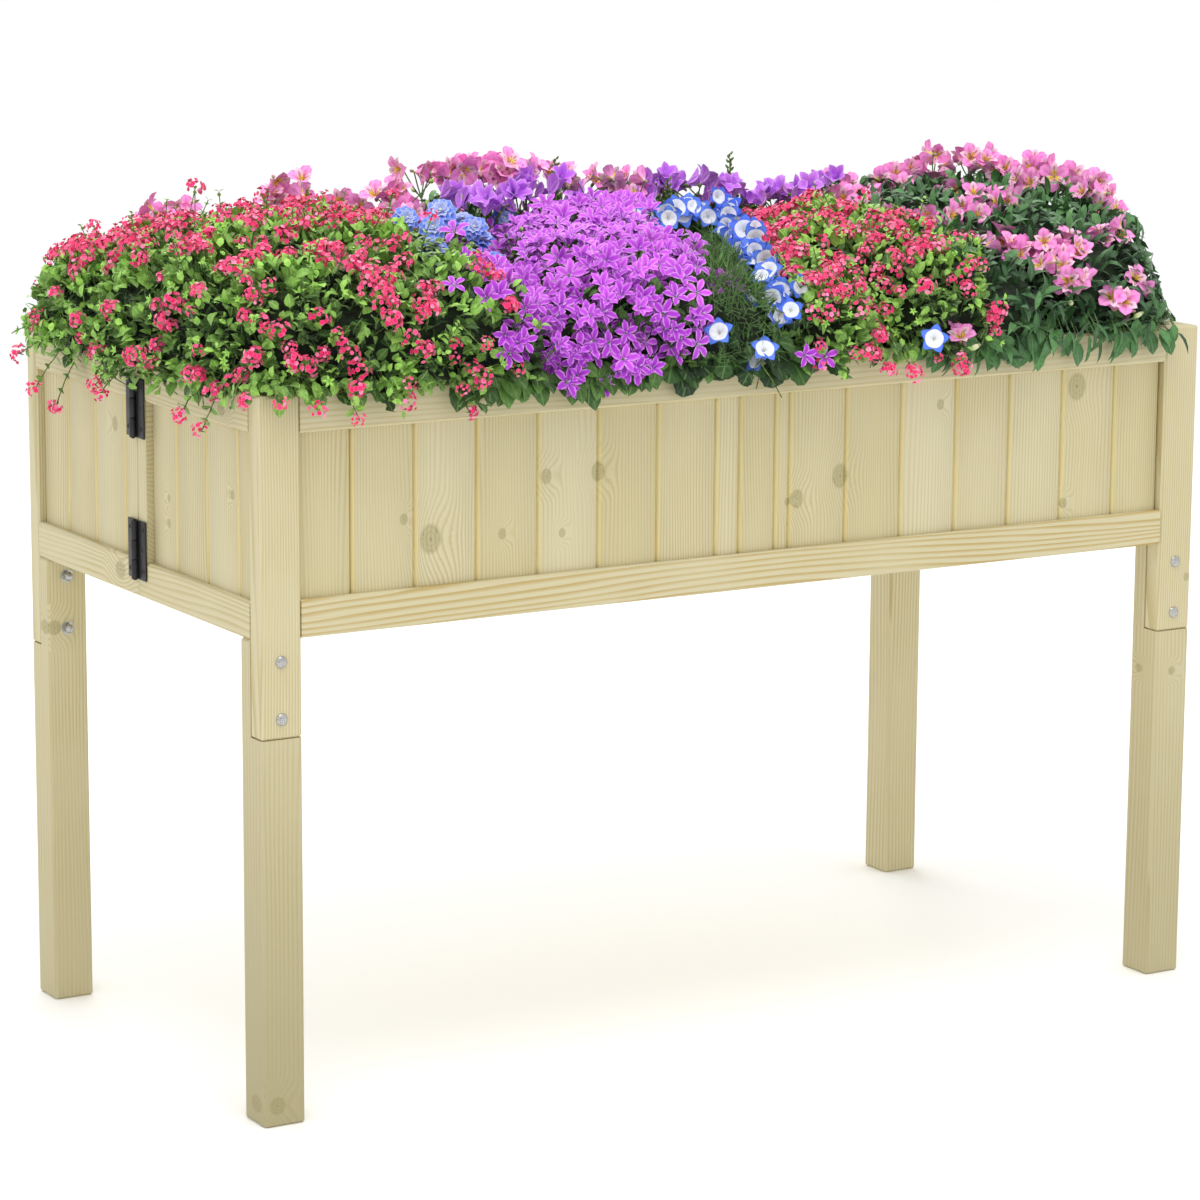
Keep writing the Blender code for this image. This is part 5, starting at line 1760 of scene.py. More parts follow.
def along(drifts: Sequence[Drift], seed: int = 0, spread: float = 0.0) -> np.ndarray:
    """Space places along bent lines.

    Args:
        drifts: For each line its bends, and the distance from place to place.
        seed: Seed of the places' irregularity.
        spread: How far a place may lie from its line.

    Returns:
        The places, line after line.
    """
    places = []
    for bends, spacing in drifts:
        corners = np.array(bends)
        lengths = np.concatenate([[0], np.cumsum(np.linalg.norm(np.diff(corners, axis=0), axis=1))])
        steps = np.arange(0, max(lengths[-1], 0.001), spacing)
        places.append(np.stack([np.interp(steps, lengths, corners[:, axis]) for axis in range(3)], axis=1))
    every = np.concatenate(places)
    return every + np.random.default_rng(seed).normal(size=every.shape) * spread


@dataclass
class Plant:
    """A plant of the bed: its name, the canopy that it grows in, and the seed of its irregularity."""

    plant: str
    canopy: Canopy
    seed: int

    def bush(self, roughness: float, pairs: float, *shades: Colour) -> Bush:
        """Start the plant's bush with its leaves' roughness, pairs of veins and shades."""
        return Bush(self.plant, self.canopy, Shades(*shades), self.seed, roughness, pairs)

    def petal(self, part: str, *values: Colour | float) -> Material:
        """Make the finish of the plant's petals, with Petal's own values in order."""
        return Petal(f"{self.plant}_{part}", *values).make()

    def speckled(self, part: str, *values: Colour | float) -> Material:
        """Make a speckled finish for a part of the plant, with Speckled's own values in order."""
        return Speckled(f"{self.plant}_{part}", *values).make()


@dataclass
class Lantana(Plant):
    """A lantana-like bush: toothed leaves, shoots that stand out, and small round heads of tiny florets."""

    leaf_count: int
    head_count: int
    shoot_count: int
    trails: tuple[tuple[Vec, Vec], ...] = ()
    edges: Rims = ()
    head_radius: float = 0.0086
    floret_radius: float = 0.0027
    florets: int = 26

    def head(self, seed: int, florets: int) -> Form:
        """Model a head: florets over a small dome, each with its own tilt, height and paleness.

        Args:
            seed: Seed of the head's irregularity.
            florets: How many florets it has.

        Returns:
            The head, growing along +Z.
        """
        rng = np.random.default_rng(seed)
        parts = []
        one = floret(self.floret_radius)
        golden = math.pi * (3 - math.sqrt(5))
        for k in range(florets):
            polar = math.acos(1 - (k + 0.5) / florets * 1.1) + rng.uniform(-0.12, 0.12)
            turn = golden * k + rng.uniform(-0.35, 0.35)
            radius = self.head_radius * rng.uniform(0.72, 1.2)
            way = (Matrix.Rotation(turn, 4, "Z") @ Matrix.Rotation(polar, 4, "Y")
                   @ Matrix.Translation((0, 0, radius)) @ Matrix.Rotation(rng.uniform(0, 6), 4, "Z")
                   @ Matrix.Rotation(rng.uniform(-0.4, 0.4), 4, "X") @ Matrix.Scale(rng.uniform(0.8, 1.15), 4))
            parts.append(one.moved(way))
            parts[-1].blade[:, 0] = rng.uniform(0.5, 1.0)
        return Form.joined(parts)

    def add_heads(self, bush: Bush, places: np.ndarray, outward: np.ndarray, lit: np.ndarray,
                  stem: float = 0.034) -> None:
        """Put a head on each place, on a stem of a length that comes from inside the bush.

        Args:
            bush: The bush that takes them.
            places: Where they go.
            outward: The ways out of the bush there.
            lit: Their tones.
            stem: Length of their stems.
        """
        rng = bush.rng
        kinds = rng.integers(0, len(self.heads), len(places))
        tilt = unit(outward * 0.8 + UP * 0.45 + rng.normal(size=places.shape) * 0.4)
        sizes = rng.uniform(0.74, 1.22, len(places))
        for kind, form in enumerate(self.heads):
            own = kinds == kind
            bush.blooms.add(form, places[own], axes_about(tilt[own], rng.uniform(0, 6, own.sum()), sizes[own]),
                            lit[own])
        bush.add_stems(places - tilt * stem - outward * stem * 0.2, places + tilt * 0.004, 0.0007, 0.5)

    def add_shoots(self, bush: Bush, forms: Sequence[Form]) -> None:
        """Let thin shoots stand out of the bush, with pairs of small light leaves and now and then a head.

        Args:
            bush: The bush that takes them.
            forms: The leaf shapes.
        """
        rng = bush.rng
        places, outward, _ = self.canopy.sample(self.plant, self.shoot_count, rng, (0.0, 0.018))
        for place, way in zip(places, outward):
            heading = unit((way + UP * 0.45 + rng.normal(size=3) * 0.35)[None])[0]
            length = rng.uniform(0.016, 0.046)
            tip = place + heading * length
            bush.add_stems(np.array([place - heading * 0.03]), np.array([tip]), 0.0007, 0.6)
            for share in (0.35, 0.62, 0.86, 1.0):
                self.add_pair(bush, forms[0], place + heading * length * share, heading, 1.0 - 0.45 * share, 0.85)
            if rng.random() < 0.3:
                self.add_heads(bush, tip[None], heading[None], rng.uniform(0.2, 0.9, 1))

    def add_pair(self, bush: Bush, form: Form, place: np.ndarray, heading: np.ndarray, size: float,
                 tone: float) -> None:
        """Add two opposite leaves at a place on a shoot.

        Args:
            bush: The bush that takes them.
            form: The leaf shape.
            place: Where they grow.
            heading: The way that the shoot goes there.
            size: Their scale.
            tone: Their tone.
        """
        rng = bush.rng
        side = unit(np.cross(heading, rng.normal(size=3))[None])[0]
        growth = unit(np.array([side, -side]) + heading * 0.45)
        upper = np.array([heading + side * 0.2, heading - side * 0.2]) + UP * 0.5
        bush.leaves.add(form, np.array([place, place]), axes_from(growth, upper, np.full(2, size)),
                        np.clip(rng.normal(tone, 0.12, 2), 0, 1))

    def add_trail(self, bush: Bush, forms: Sequence[Form], start: Vec, end: Vec) -> None:
        """Let a sprig trail over the edge: a curved stem, paired leaves along it and a head at its tip.

        Args:
            bush: The bush that takes it.
            forms: The leaf shapes.
            start: Where it leaves the bush.
            end: Where its tip hangs.
        """
        rng = bush.rng
        first, last = np.array(start), np.array(end)
        out = last - first
        middle = first + out * 0.55 + np.array([0, 0, max(0.012, -out[2] * 0.45)])
        shares = np.linspace(0, 1, 7)[:, None]
        path = first * (1 - shares) ** 2 + middle * 2 * shares * (1 - shares) + last * shares ** 2
        bush.add_stems(path[:-1], path[1:], 0.0008, 0.5)
        for k in range(1, 6):
            heading = unit((path[k + 1] - path[k])[None])[0]
            self.add_pair(bush, forms[k % len(forms)], path[k], heading, rng.uniform(0.9, 1.35),
                          rng.uniform(0.3, 0.9))
        self.add_heads(bush, last[None], unit((path[-1] - path[-2])[None]) * 0.5, rng.uniform(0.2, 0.9, 1), 0.004)

    def build(self) -> None:
        """Grow the bush and make its pieces."""
        bush = self.bush(0.42, 5.0, (20, 58, 22), (164, 220, 92), (182, 218, 126))
        rng = bush.rng
        toothed = blades((0.017, 0.0125, 0.42, 0.72, 0.35, -0.45, 0.22, 0.0006, 3, 0.06),
                         (0.014, 0.0105, 0.45, 0.75, 0.1, -0.6, 0.15), (0.018, 0.012, 0.4, 0.8, 0.55, -0.25, 0.3))
        small = blades((0.011, 0.0075, 0.45, 0.8, 0.3, -0.4, 0.2, 0.0006, 2))
        tuft = whorl(Blade(0.0062, 0.0026, 0.45, 0.8, 0.8, 0.2, 0.1, rings=2).model(), 5)
        self.heads = [self.head(self.seed + k, self.florets - 7 * k) for k in range(3)]
        share = self.leaf_count // 10
        bush.scatter_leaves(toothed, share * 3, (-0.012, 0.0), (0.95, 1.35), (0.0, 0.18))
        bush.scatter_leaves(toothed, share * 4, (-0.006, 0.024), (0.7, 1.15), (0.04, 0.72))
        bush.scatter_leaves(small, share * 3, (0.0, 0.034), (0.7, 1.25), (0.35, 1.05))
        places, outward, _ = self.canopy.sample(self.plant, self.head_count // 3, rng, (0.008, 0.036))
        facing = unit(outward + rng.normal(size=places.shape) * 0.4)
        count = len(places)
        axes = axes_about(facing, rng.uniform(0, 6, count), rng.uniform(0.8, 1.3, count))
        bush.leaves.add(tuft, places, axes, np.full(count, 1.0))
        places, outward, out = self.canopy.sample(self.plant, self.head_count, rng, (0.002, 0.036), 16.0)
        kept = rng.random(len(out)) < 0.42 + (places[:, 2] - 0.8) / 0.1 * 0.58
        places, outward, out = places[kept], outward[kept], out[kept]
        lit = np.clip(0.1 + out * 0.5 + outward[:, 2] * 0.35 + rng.normal(size=len(out)) * 0.25, 0, 1)
        self.add_heads(bush, places, outward, lit)
        self.add_shoots(bush, small)
        for start, end in self.trails:
            self.add_trail(bush, small, start, end)
        for edge, span, count in self.edges:
            bush.hang_layer(edge, span, toothed + small, count, (0.8, 1.15), (0.1, 0.7))
            bush.hang_layer(edge, span, small, count // 2, (0.8, 1.15), (0.5, 1.0))
        bush.build([self.petal("floret", (176, 6, 66), (252, 44, 116), (255, 166, 206), (238, 28, 110), (226, 0, 94),
                               0.1, 0.45, 0.1)])


@dataclass
class Alstroemeria(Plant):
    """A clump of alstroemerias: upright leafy stems, each with a few funnel-shaped flowers."""

    leaf_count: int
    drifts: tuple[Drift, ...]
    edges: Rims = ()
    fringe: Rims = ()
    flowers: int = 4
    ceiling: float = 0.97

    def __post_init__(self) -> None:
        """Space the stems along the drifts, and keep the flowers' places free."""
        self.places = along(self.drifts, self.seed, 0.004)
        self.canopy.keep_free(self.plant, self.places, 0.02)

    def flower(self, opened: float) -> Form:
        """Model a flower: three broad rounded tepals, three narrow streaked ones, stamens and its tube.

        Args:
            opened: How far it is open, from 0 to 1.

        Returns:
            The flower, facing +Z.
        """
        broad = Blade(0.027, 0.019, 0.66, 0.66, 1.28 - 0.2 * opened, 0.25 - 0.6 * opened, 0.22, 0.0007, 5).model()
        narrow = Blade(0.0245, 0.0112, 0.6, 0.84, 1.26 - 0.2 * opened, 0.3 - 0.5 * opened, 0.22, 0.0007, 4).model(1)
        stamen = Blade(0.0125, 0.001, 0.6, 0.6, 1.4, 0.85, 0.0, 0.0009, 2).model(2)
        anther = bead(5, 3, 0.0011, 0.0028, 2)
        parts = [whorl(broad, 3, 0.0, 0.0, 0.0012), whorl(narrow, 3, math.pi / 3, 0.0004, 0.0008),
                 whorl(stamen, 5, 0.4, 0.002, 0.0006)]
        for k in range(5):
            way = (Matrix.Rotation(0.4 + math.tau * k / 5, 4, "Z") @ Matrix.Translation((0, 0.0056, 0.0112)))
            parts.append(anther.moved(way))
        parts.append(bead(6, 4, 0.0028, 0.0085, 3, -0.0072))
        return Form.joined(parts)

    def bud(self) -> Form:
        """Model a plump pale bud with a green tip."""
        return Form.joined([bead(7, 5, 0.0042, 0.016, 4, 0.0, 0.25), bead(6, 3, 0.0022, 0.005, 3, 0.0125)])

    def add_stem(self, bush: Bush, place: Vec) -> None:
        """Add one leafy stem: its first flower at a place, the others and a bud behind and beside it.

        Args:
            bush: The bush that takes it.
            place: Where its first flower is.
        """
        rng = bush.rng
        centre = np.array(place)
        foot = centre * np.array([0.97, 0.97, 0]) + [0, 0, min(self.canopy.top(*place[:2]), place[2]) - 0.035]
        head = centre + np.array([0.002, 0.01, -0.03])
        bush.add_stems(foot[None], head[None], 0.0013, 0.5)
        for k in range(self.flowers):
            aside = rng.normal(size=3) * [0.016, 0.007, 0.007] + [0, 0.01, 0.001] if k else np.zeros(3)
            lean = np.array([0.0, 0.45, 0.6]) if k == 2 else np.array([-0.3, -0.62, 0.42])
            face = unit((lean + aside * 18 + rng.normal(size=3) * 0.36)[None])
            spot = centre + aside - face * 0.013
            spot[0, 2] = min(spot[0, 2], self.ceiling)
            bush.add_stems(head[None], spot, 0.0009, 0.6)
            form = self.kinds[int(rng.integers(0, len(self.kinds)))]
            bush.set_about(bush.blooms, form, spot, face, (0.7, 0.94), (0.35, 1.0))
        way = unit(np.array([[rng.normal(), rng.normal(), 0.5]]))
        tip = head + way * rng.uniform(0.012, 0.022)
        bush.add_stems(head[None], tip, 0.0008, 0.7)
        bush.set_about(bush.blooms, self.bud_form, tip, way, (0.5, 0.9), (0.4, 1.0))
        shares = rng.uniform(0.05, 0.85, 9)
        feet = foot + (head - foot) * shares[:, None]
        growth = unit(np.stack([rng.normal(size=9), rng.normal(size=9), rng.uniform(0.2, 1.0, 9)], axis=1))
        axes = axes_from(growth, UP - growth * 0.3, rng.uniform(0.5, 0.9, 9))
        bush.leaves.add(self.lances[0], feet, axes, rng.uniform(0.15, 0.75, 9))

    def build(self) -> None:
        """Grow the clump and make its pieces."""
        bush = self.bush(0.4, 1.0, (20, 52, 30), (88, 142, 76), (112, 158, 96), (46, 78, 36), (110, 150, 80))
        self.lances = blades((0.038, 0.012, 0.45, 0.85, 0.6, -0.7, 0.22), (0.032, 0.014, 0.48, 0.85, 0.3, -1.0, 0.18),
                             (0.042, 0.0105, 0.42, 0.9, 0.9, -0.4, 0.25))
        oval = blades((0.03, 0.015, 0.45, 0.75, 0.2, -0.9, 0.18), (0.026, 0.013, 0.45, 0.75, 0.1, -0.8, 0.18))
        grassy = blades((0.04, 0.005, 0.4, 0.8, 0.3, -1.2, 0.2))
        self.kinds = [self.flower(0.0), self.flower(0.5), self.flower(1.0)]
        self.bud_form = self.bud()
        share = self.leaf_count // 2
        bush.scatter_leaves(self.lances, share, (-0.016, 0.0), (0.7, 1.0), (0.0, 0.3), (0.5, 0.25, 0.85))
        bush.scatter_leaves(self.lances, share, (-0.01, 0.016), (0.55, 0.95), (0.1, 0.85), (0.5, 0.35, 0.9),
                            own=True)
        for place in self.places:
            self.add_stem(bush, place)
        bush.hang(self.edges, (oval, (0.8, 1.25), (0.4, 1.0)))
        bush.hang(self.fringe, (grassy, (0.7, 1.1), (0.0, 0.7)))
        bush.build([self.petal("tepal", (252, 226, 240), (254, 168, 230), (240, 96, 190), (214, 56, 156),
                               (230, 104, 196), 0.2, 0.62, 0.45, 0.85),
                    self.petal("inner_tepal", (246, 222, 70), (252, 206, 228), (255, 226, 240), (136, 20, 66),
                               (246, 168, 210), 0.46, 0.7, 0.7, 0.74),
                    self.speckled("stamen", (150, 96, 34), (222, 184, 84), 500.0, 0.6),
                    self.speckled("tube", (120, 150, 84), (206, 150, 160), 260.0, 0.5),
                    self.petal("bud", (150, 186, 96), (226, 228, 190), (236, 190, 206), (170, 200, 120),
                               (212, 220, 160), 0.3, 0.9, 0.3)])


@dataclass
class Campanula(Plant):
    """A cushion of campanula, thick with violet stars."""

    edges: Rims = ()
    leaf_count: int = 1500
    star_count: int = 360
    dome_count: int = 150
    dome: tuple[float, float, float, float, float] = (-0.08, -0.01, 0.135, 0.105, 0.926)
    slope: float = 0.16
    drifts: tuple[Drift, ...] = (
        (((-0.25, -0.322, 0.8), (-0.2, -0.325, 0.796), (-0.148, -0.318, 0.792)), 0.05),
        (((-0.247, -0.317, 0.83), (-0.219, -0.318, 0.816), (-0.165, -0.325, 0.812), (-0.153, -0.33, 0.828)), 0.024),
        (((-0.31, -0.312, 0.846), (-0.229, -0.317, 0.856), (-0.161, -0.329, 0.853), (-0.12, -0.3, 0.839),
          (-0.08, -0.315, 0.834)), 0.034),
        (((-0.264, -0.228, 0.859), (-0.25, -0.275, 0.869), (-0.191, -0.276, 0.876), (-0.165, -0.318, 0.874)), 0.025),
        (((-0.131, -0.28, 0.857), (-0.081, -0.26, 0.861), (-0.057, -0.29, 0.854), (-0.02, -0.24, 0.864)), 0.026),
        (((-0.105, -0.225, 0.884), (-0.06, -0.225, 0.884), (-0.029, -0.205, 0.882)), 0.036),
        (((-0.212, -0.226, 0.886),), 1.0))
    few: tuple[Vec, ...] = ((0.035, -0.335, 0.792), (0.062, -0.335, 0.789))

    def star(self, opened: float) -> Form:
        """Model a star: five pointed petals from a short tube, with a pale pistil.

        Args:
            opened: How far it is open, up to 1.

        Returns:
            The star, facing +Z.
        """
        petal = Blade(0.0178, 0.0082, 0.56, 0.95, 1.15 - 0.35 * opened, -0.15 - 0.45 * opened, 0.2, 0.0006, 3).model()
        pistil = Blade(0.01, 0.0016, 0.7, 0.6, 1.45, 1.35, 0.0, 0.0014, 2).model(1)
        calyx = bead(5, 3, 0.0024, 0.006, 2, -0.0045, 0.2)
        return Form.joined([whorl(petal, 5, 0.0, 0.0, 0.0008, 0.1, 3), pistil, calyx])

    def build(self) -> None:
        """Grow the cushion and make its pieces."""
        bush = self.bush(0.45, 3.0, (26, 54, 24), (104, 150, 64), (128, 168, 92))
        broad = blades((0.027, 0.0165, 0.45, 0.72, 0.3, -0.3, 0.14, 0.0006, 4),
                       (0.022, 0.014, 0.45, 0.72, 0.5, -0.5, 0.14, 0.0006, 4))
        leaves = blades((0.017, 0.012, 0.42, 0.75, 0.3, -0.5, 0.18, 0.0006, 3, 0.07),
                        (0.014, 0.01, 0.45, 0.8, 0.5, -0.3, 0.2))
        bush.scatter_leaves(leaves, self.leaf_count, (-0.012, 0.01), (0.7, 1.2), (0.0, 0.6))
        rng = bush.rng
        kinds = [self.star(o) for o in (-0.5, 0.2, 0.6, 1.0)]
        places, outward, out = self.canopy.sample(self.plant, self.star_count, rng, (0.006, 0.032), 20.0)
        extra = np.repeat(along(self.drifts), 4, axis=0)
        extra = extra + rng.normal(size=extra.shape) * np.array([0.014, 0.006, 0.013])
        extra = np.vstack([extra, np.array(self.few)])
        extra = extra[~self.canopy.shut_out(self.plant, extra)]
        mid_x, mid_y, half_x, half_y, crown = self.dome
        reach, turn = np.sqrt(rng.random(self.dome_count)), rng.uniform(0, math.tau, self.dome_count)
        level = crown - 0.032 * reach ** 2 + self.slope * half_x * reach * np.cos(turn)
        dome = np.stack([mid_x + half_x * reach * np.cos(turn), mid_y + half_y * reach * np.sin(turn),
                         level + rng.uniform(-0.014, 0.012, self.dome_count)], axis=1)
        dome = dome[~self.canopy.shut_out(self.plant, dome) & self.canopy.in_plot(self.plant, dome)]
        places = np.vstack([places, extra, dome])
        outward = np.vstack([outward, np.tile([[-0.1, -0.95, 0.2]], (len(extra), 1)),
                             np.tile([[-0.1, -0.3, 0.8]], (len(dome), 1))])
        out = np.concatenate([out, np.full(len(extra), 0.6), np.full(len(dome), 0.8)])
        facing = unit(outward + np.array([[-0.12, -0.35, 0.25]]) + rng.normal(size=places.shape) * 0.34)
        lit = np.clip(-0.2 + 0.45 * out + 0.55 * (places[:, 2] - 0.82) / 0.1 + rng.normal(size=len(out)) * 0.28, 0, 1)
        picks = rng.integers(0, len(kinds), len(places))
        sizes = rng.uniform(0.84, 1.16, len(places))
        for kind, form in enumerate(kinds):
            own = picks == kind
            bush.blooms.add(form, places[own], axes_about(facing[own], rng.uniform(0, 6, own.sum()), sizes[own]),
                            lit[own])
        bush.add_stems(places - facing * 0.034, places - facing * 0.003, 0.0007, 0.5)
        bush.hang(self.edges, (broad, (1.0, 1.5), (0.15, 0.85)), (leaves, (0.9, 1.3), (0.1, 0.6)))
        bush.build([self.petal("petal", (236, 216, 246), (216, 96, 236), (244, 172, 250), (164, 26, 198),
                               (150, 20, 188), 0.1, 0.45, 0.55),
                    self.speckled("pistil", (206, 196, 226), (246, 240, 250), 600.0, 0.5),
                    self.speckled("calyx", (58, 84, 36), (110, 140, 66), 400.0, 0.6)])


@dataclass
class TallBellflower(Plant):
    """Tall bellflowers: lilac bells on upright stems, and slim spikes of green buds."""

    edges: Rims = ()
    leaf_count: int = 1450
    foot: float = 0.86
    ceiling: float = 0.958
    spike: float = 0.06
    spike_buds: int = 22
    drifts: tuple[Drift, ...] = (
        (((-0.19, 0.06, 0.944), (-0.12, 0.05, 0.939), (-0.085, 0.08, 0.962), (-0.04, 0.06, 0.936)), 0.032),
        (((0.126, 0.14, 0.935), (0.19, 0.13, 0.942), (0.276, 0.12, 0.918), (0.375, 0.15, 0.928)), 0.028),
        (((0.05, 0.19, 0.915), (0.12, 0.21, 0.915), (0.295, 0.22, 0.905)), 0.078))
    spikes: tuple[Vec, ...] = ((-0.017, 0.12, 0.974), (0.239, 0.14, 0.968), (-0.141, 0.06, 0.95),
                               (0.139, 0.12, 0.943))

    def bell(self, opened: float) -> Form:
        """Model a bell: five petals joined low down, whose points turn out at the mouth.

        Args:
            opened: How far it is open, up to 1.

        Returns:
            The bell, its mouth towards +Z.
        """
        petal = Blade(0.034, 0.0185, 0.52, 0.72, 1.42, 0.95 - 0.95 * opened, 0.3, 0.0007, 5).model()
        pistil = Blade(0.02, 0.0018, 0.7, 0.6, 1.5, 1.5, 0.0, 0.0016, 2).model(1)
        calyx = bead(6, 3, 0.004, 0.0085, 2, -0.0065, 0.2)
        return Form.joined([whorl(petal, 5, 0.0, 0.0, 0.0022, 0.05, 5), pistil, calyx])

    def build(self) -> None:
        """Grow the bellflowers and make their pieces."""
        bush = self.bush(0.45, 3.0, (24, 54, 24), (112, 162, 70), (140, 180, 96))
        rng = bush.rng
        leaves = blades((0.032, 0.01, 0.42, 0.85, 0.5, -0.6, 0.2, 0.0006, 3, 0.05),
                        (0.024, 0.009, 0.45, 0.85, 0.7, -0.3, 0.2))
        bush.scatter_leaves(leaves, self.leaf_count, (-0.01, 0.02), (0.6, 1.1), (0.0, 0.75), (0.5, 0.6, 0.6))
        bush.hang(self.edges, (leaves, (0.8, 1.15), (0.1, 0.7)))
        kinds = [self.bell(o) for o in (0.35, 0.7, 1.0)]
        bud = bead(5, 4, 0.0028, 0.0085, 2, 0.0, 0.45)
        for centre in along(self.drifts, self.seed, 0.004):
            foot = np.array([*centre[:2], self.foot])
            bush.add_stems(foot[None], centre[None] - UP * 0.02, 0.0013, 0.5)
            for k in range(4):
                turn = rng.uniform(0, math.tau)
                way = unit(np.array([[math.cos(turn), math.sin(turn) - 0.5, rng.uniform(0.4, 1.6)]]))
                start = centre - UP * (0.022 + 0.008 * k)
                spot = centre + (rng.normal(size=3) * [0.012, 0.01, 0.006] if k else 0) - way * 0.016
                spot[0, 2] = min(spot[0, 2], self.ceiling)
                bush.add_stems(start[None], spot, 0.001, 0.6)
                bush.set_about(bush.blooms, kinds[int(rng.integers(0, 3))], spot, way, (0.58, 0.84), (0.45, 1.0))
        for x, y, tip in self.spikes:
            low = tip - self.spike
            bush.add_stems(np.array([[x, y, low - 0.02]]), np.array([[x, y, low + self.spike - 0.006]]), 0.0012, 0.6)
            for k in range(self.spike_buds):
                share = k / (self.spike_buds - 1)
                turn = 2.4 * k
                way = unit(np.array([[math.cos(turn), math.sin(turn), 1.1]]))
                place = np.array([[x, y, low + self.spike * (0.1 + 0.86 * share)]]) + way * 0.0015
                bush.blooms.add(bud, place, axes_about(way, np.array([turn]), np.array([1.1 - 0.45 * share])),
                                rng.uniform(0.3, 1.0, 1))
        bush.build([self.petal("petal", (226, 180, 248), (214, 132, 244), (240, 196, 254), (166, 60, 214),
                               (184, 84, 228), 0.08, 0.6, 0.4),
                    self.speckled("pistil", (206, 196, 226), (246, 240, 250), 600.0, 0.5),
                    self.speckled("calyx", (52, 84, 34), (112, 146, 62), 400.0, 0.6)])


@dataclass
class DoubleBellflower(Plant):
    """A low bellflower with ruffled double blue flowers among round green buds."""

    leaf_count: int = 1300
    size: Span = (0.82, 1.02)
    carpet: int = 26
    bud_count: int = 90
    places: tuple[Vec, ...] = ((-0.235, 0.0, 0.926), (-0.192, 0.03, 0.922), (-0.182, 0.0, 0.903),
                               (-0.266, -0.035, 0.921), (-0.3, -0.105, 0.9), (-0.196, -0.005, 0.915),
                               (-0.285, -0.01, 0.93), (-0.237, 0.0, 0.935), (-0.212, -0.09, 0.884),
                               (-0.12, 0.06, 0.915), (-0.282, -0.06, 0.903), (-0.232, -0.065, 0.888))

    def __post_init__(self) -> None:
        """Keep the flowers' places free, and the way from them to the front."""
        reach = np.outer((0.0, 0.035, 0.07, 0.105), self.canopy.sunward)
        open_ways = np.array(self.places)[:, None] + reach[None]
        self.canopy.keep_free(self.plant, open_ways.reshape(-1, 3), 0.025)

    def flower(self, seed: int) -> Form:
        """Model a double flower: rings of broad frilled petals, smaller and more upright inward.

        Args:
            seed: Seed of its irregularity.

        Returns:
            The flower, facing +Z.
        """
        rings = []
        for k, (length, count, rise) in enumerate(((0.02, 9, 0.12), (0.0165, 9, 0.5), (0.0125, 8, 0.88),
                                                   (0.009, 7, 1.15), (0.006, 6, 1.35))):
            petal = Blade(length, length * 0.62, 0.64, 0.7, rise, rise - 0.6, 0.18).model(0 if k < 2 else 4)
            rings.append(whorl(petal, count, 0.35 * k, 0.001 * k, 0.0008, 0.16, seed + k))
        rings.append(bead(6, 4, 0.0022, 0.0055, 1, 0.003))
        return Form.joined(rings)

    def build(self) -> None:
        """Grow the bellflower and make its pieces."""
        bush = self.bush(0.45, 3.0, (28, 56, 22), (124, 168, 60), (158, 194, 86))
        rng = bush.rng
        leaves = blades((0.016, 0.0095, 0.45, 0.8, 0.4, -0.4, 0.2), (0.013, 0.008, 0.45, 0.8, 0.6, -0.2, 0.2))
        bush.scatter_leaves(leaves, self.leaf_count, (-0.01, 0.018), (0.7, 1.2), (0.0, 0.85))
        strewn = np.repeat(np.array(self.places), self.carpet, axis=0)
        strewn = strewn + rng.uniform(-0.01, 0.17, len(strewn))[:, None] * self.canopy.sunward
        strewn = strewn + rng.normal(size=strewn.shape) * [0.024, 0.01, 0.0]
        strewn[:, 2] = [self.canopy.top(x, y) for x, y in strewn[:, :2]] - rng.uniform(0.0, 0.012, len(strewn))
        growth = unit(rng.normal(size=strewn.shape) * [1.0, 1.0, 0.25])
        axes = axes_from(growth, UP - growth * 0.1, rng.uniform(0.7, 1.2, len(strewn)))
        bush.leaves.add(leaves[0], strewn, axes, rng.uniform(0.15, 0.9, len(strewn)))
        kinds = [self.flower(k * 10) for k in range(2)]
        for k, station in enumerate(self.places):
            facing = unit(np.array([[-0.3, -0.75, 0.55]]) + rng.normal(size=(1, 3)) * 0.2)
            place = np.array([station]) - facing * 0.006
            bush.add_stems(place - np.array([[0, -0.02, 0.05]]), place, 0.0014, 0.5)
            bush.set_about(bush.blooms, kinds[k % 2], place, facing, self.size, (0.3, 1.0))
        bud = Form.joined([bead(7, 5, 0.0034, 0.0065, 2), bead(5, 3, 0.0016, 0.003, 3, 0.0052)])
        places, _, _ = self.canopy.sample(self.plant, self.bud_count, rng, (0.012, 0.036))
        near = np.repeat(np.array(self.places), 10, axis=0)
        near = near + rng.normal(size=near.shape) * [0.026, 0.016, 0.016] + [0, 0.008, -0.002]
        near = near[~self.canopy.shut_out("", near, True)]
        places = np.vstack([places, near])
        facing = unit(np.array([[-0.2, -0.4, 0.8]]) + rng.normal(size=places.shape) * 0.4)
        bush.set_about(bush.blooms, bud, places, facing, (0.7, 1.2), (0.2, 1))
        bush.add_stems(places - facing * 0.03, places, 0.0008, 0.6)
        bush.build([self.petal("petal", (232, 234, 252), (116, 150, 248), (226, 234, 255), (48, 70, 212),
                               (58, 86, 228), 0.36, 0.4, 0.5),
                    self.speckled("heart", (226, 218, 150), (250, 248, 220), 500.0, 0.6),
                    self.speckled("bud", (112, 156, 44), (186, 214, 98), 300.0, 0.5),
                    self.speckled("bud_tip", (190, 206, 140), (222, 232, 180), 400.0, 0.5),
                    self.petal("inner_petal", (240, 240, 246), (186, 202, 252), (238, 242, 255), (96, 120, 232),
                               (140, 164, 244), 0.3, 0.45, 0.35)])


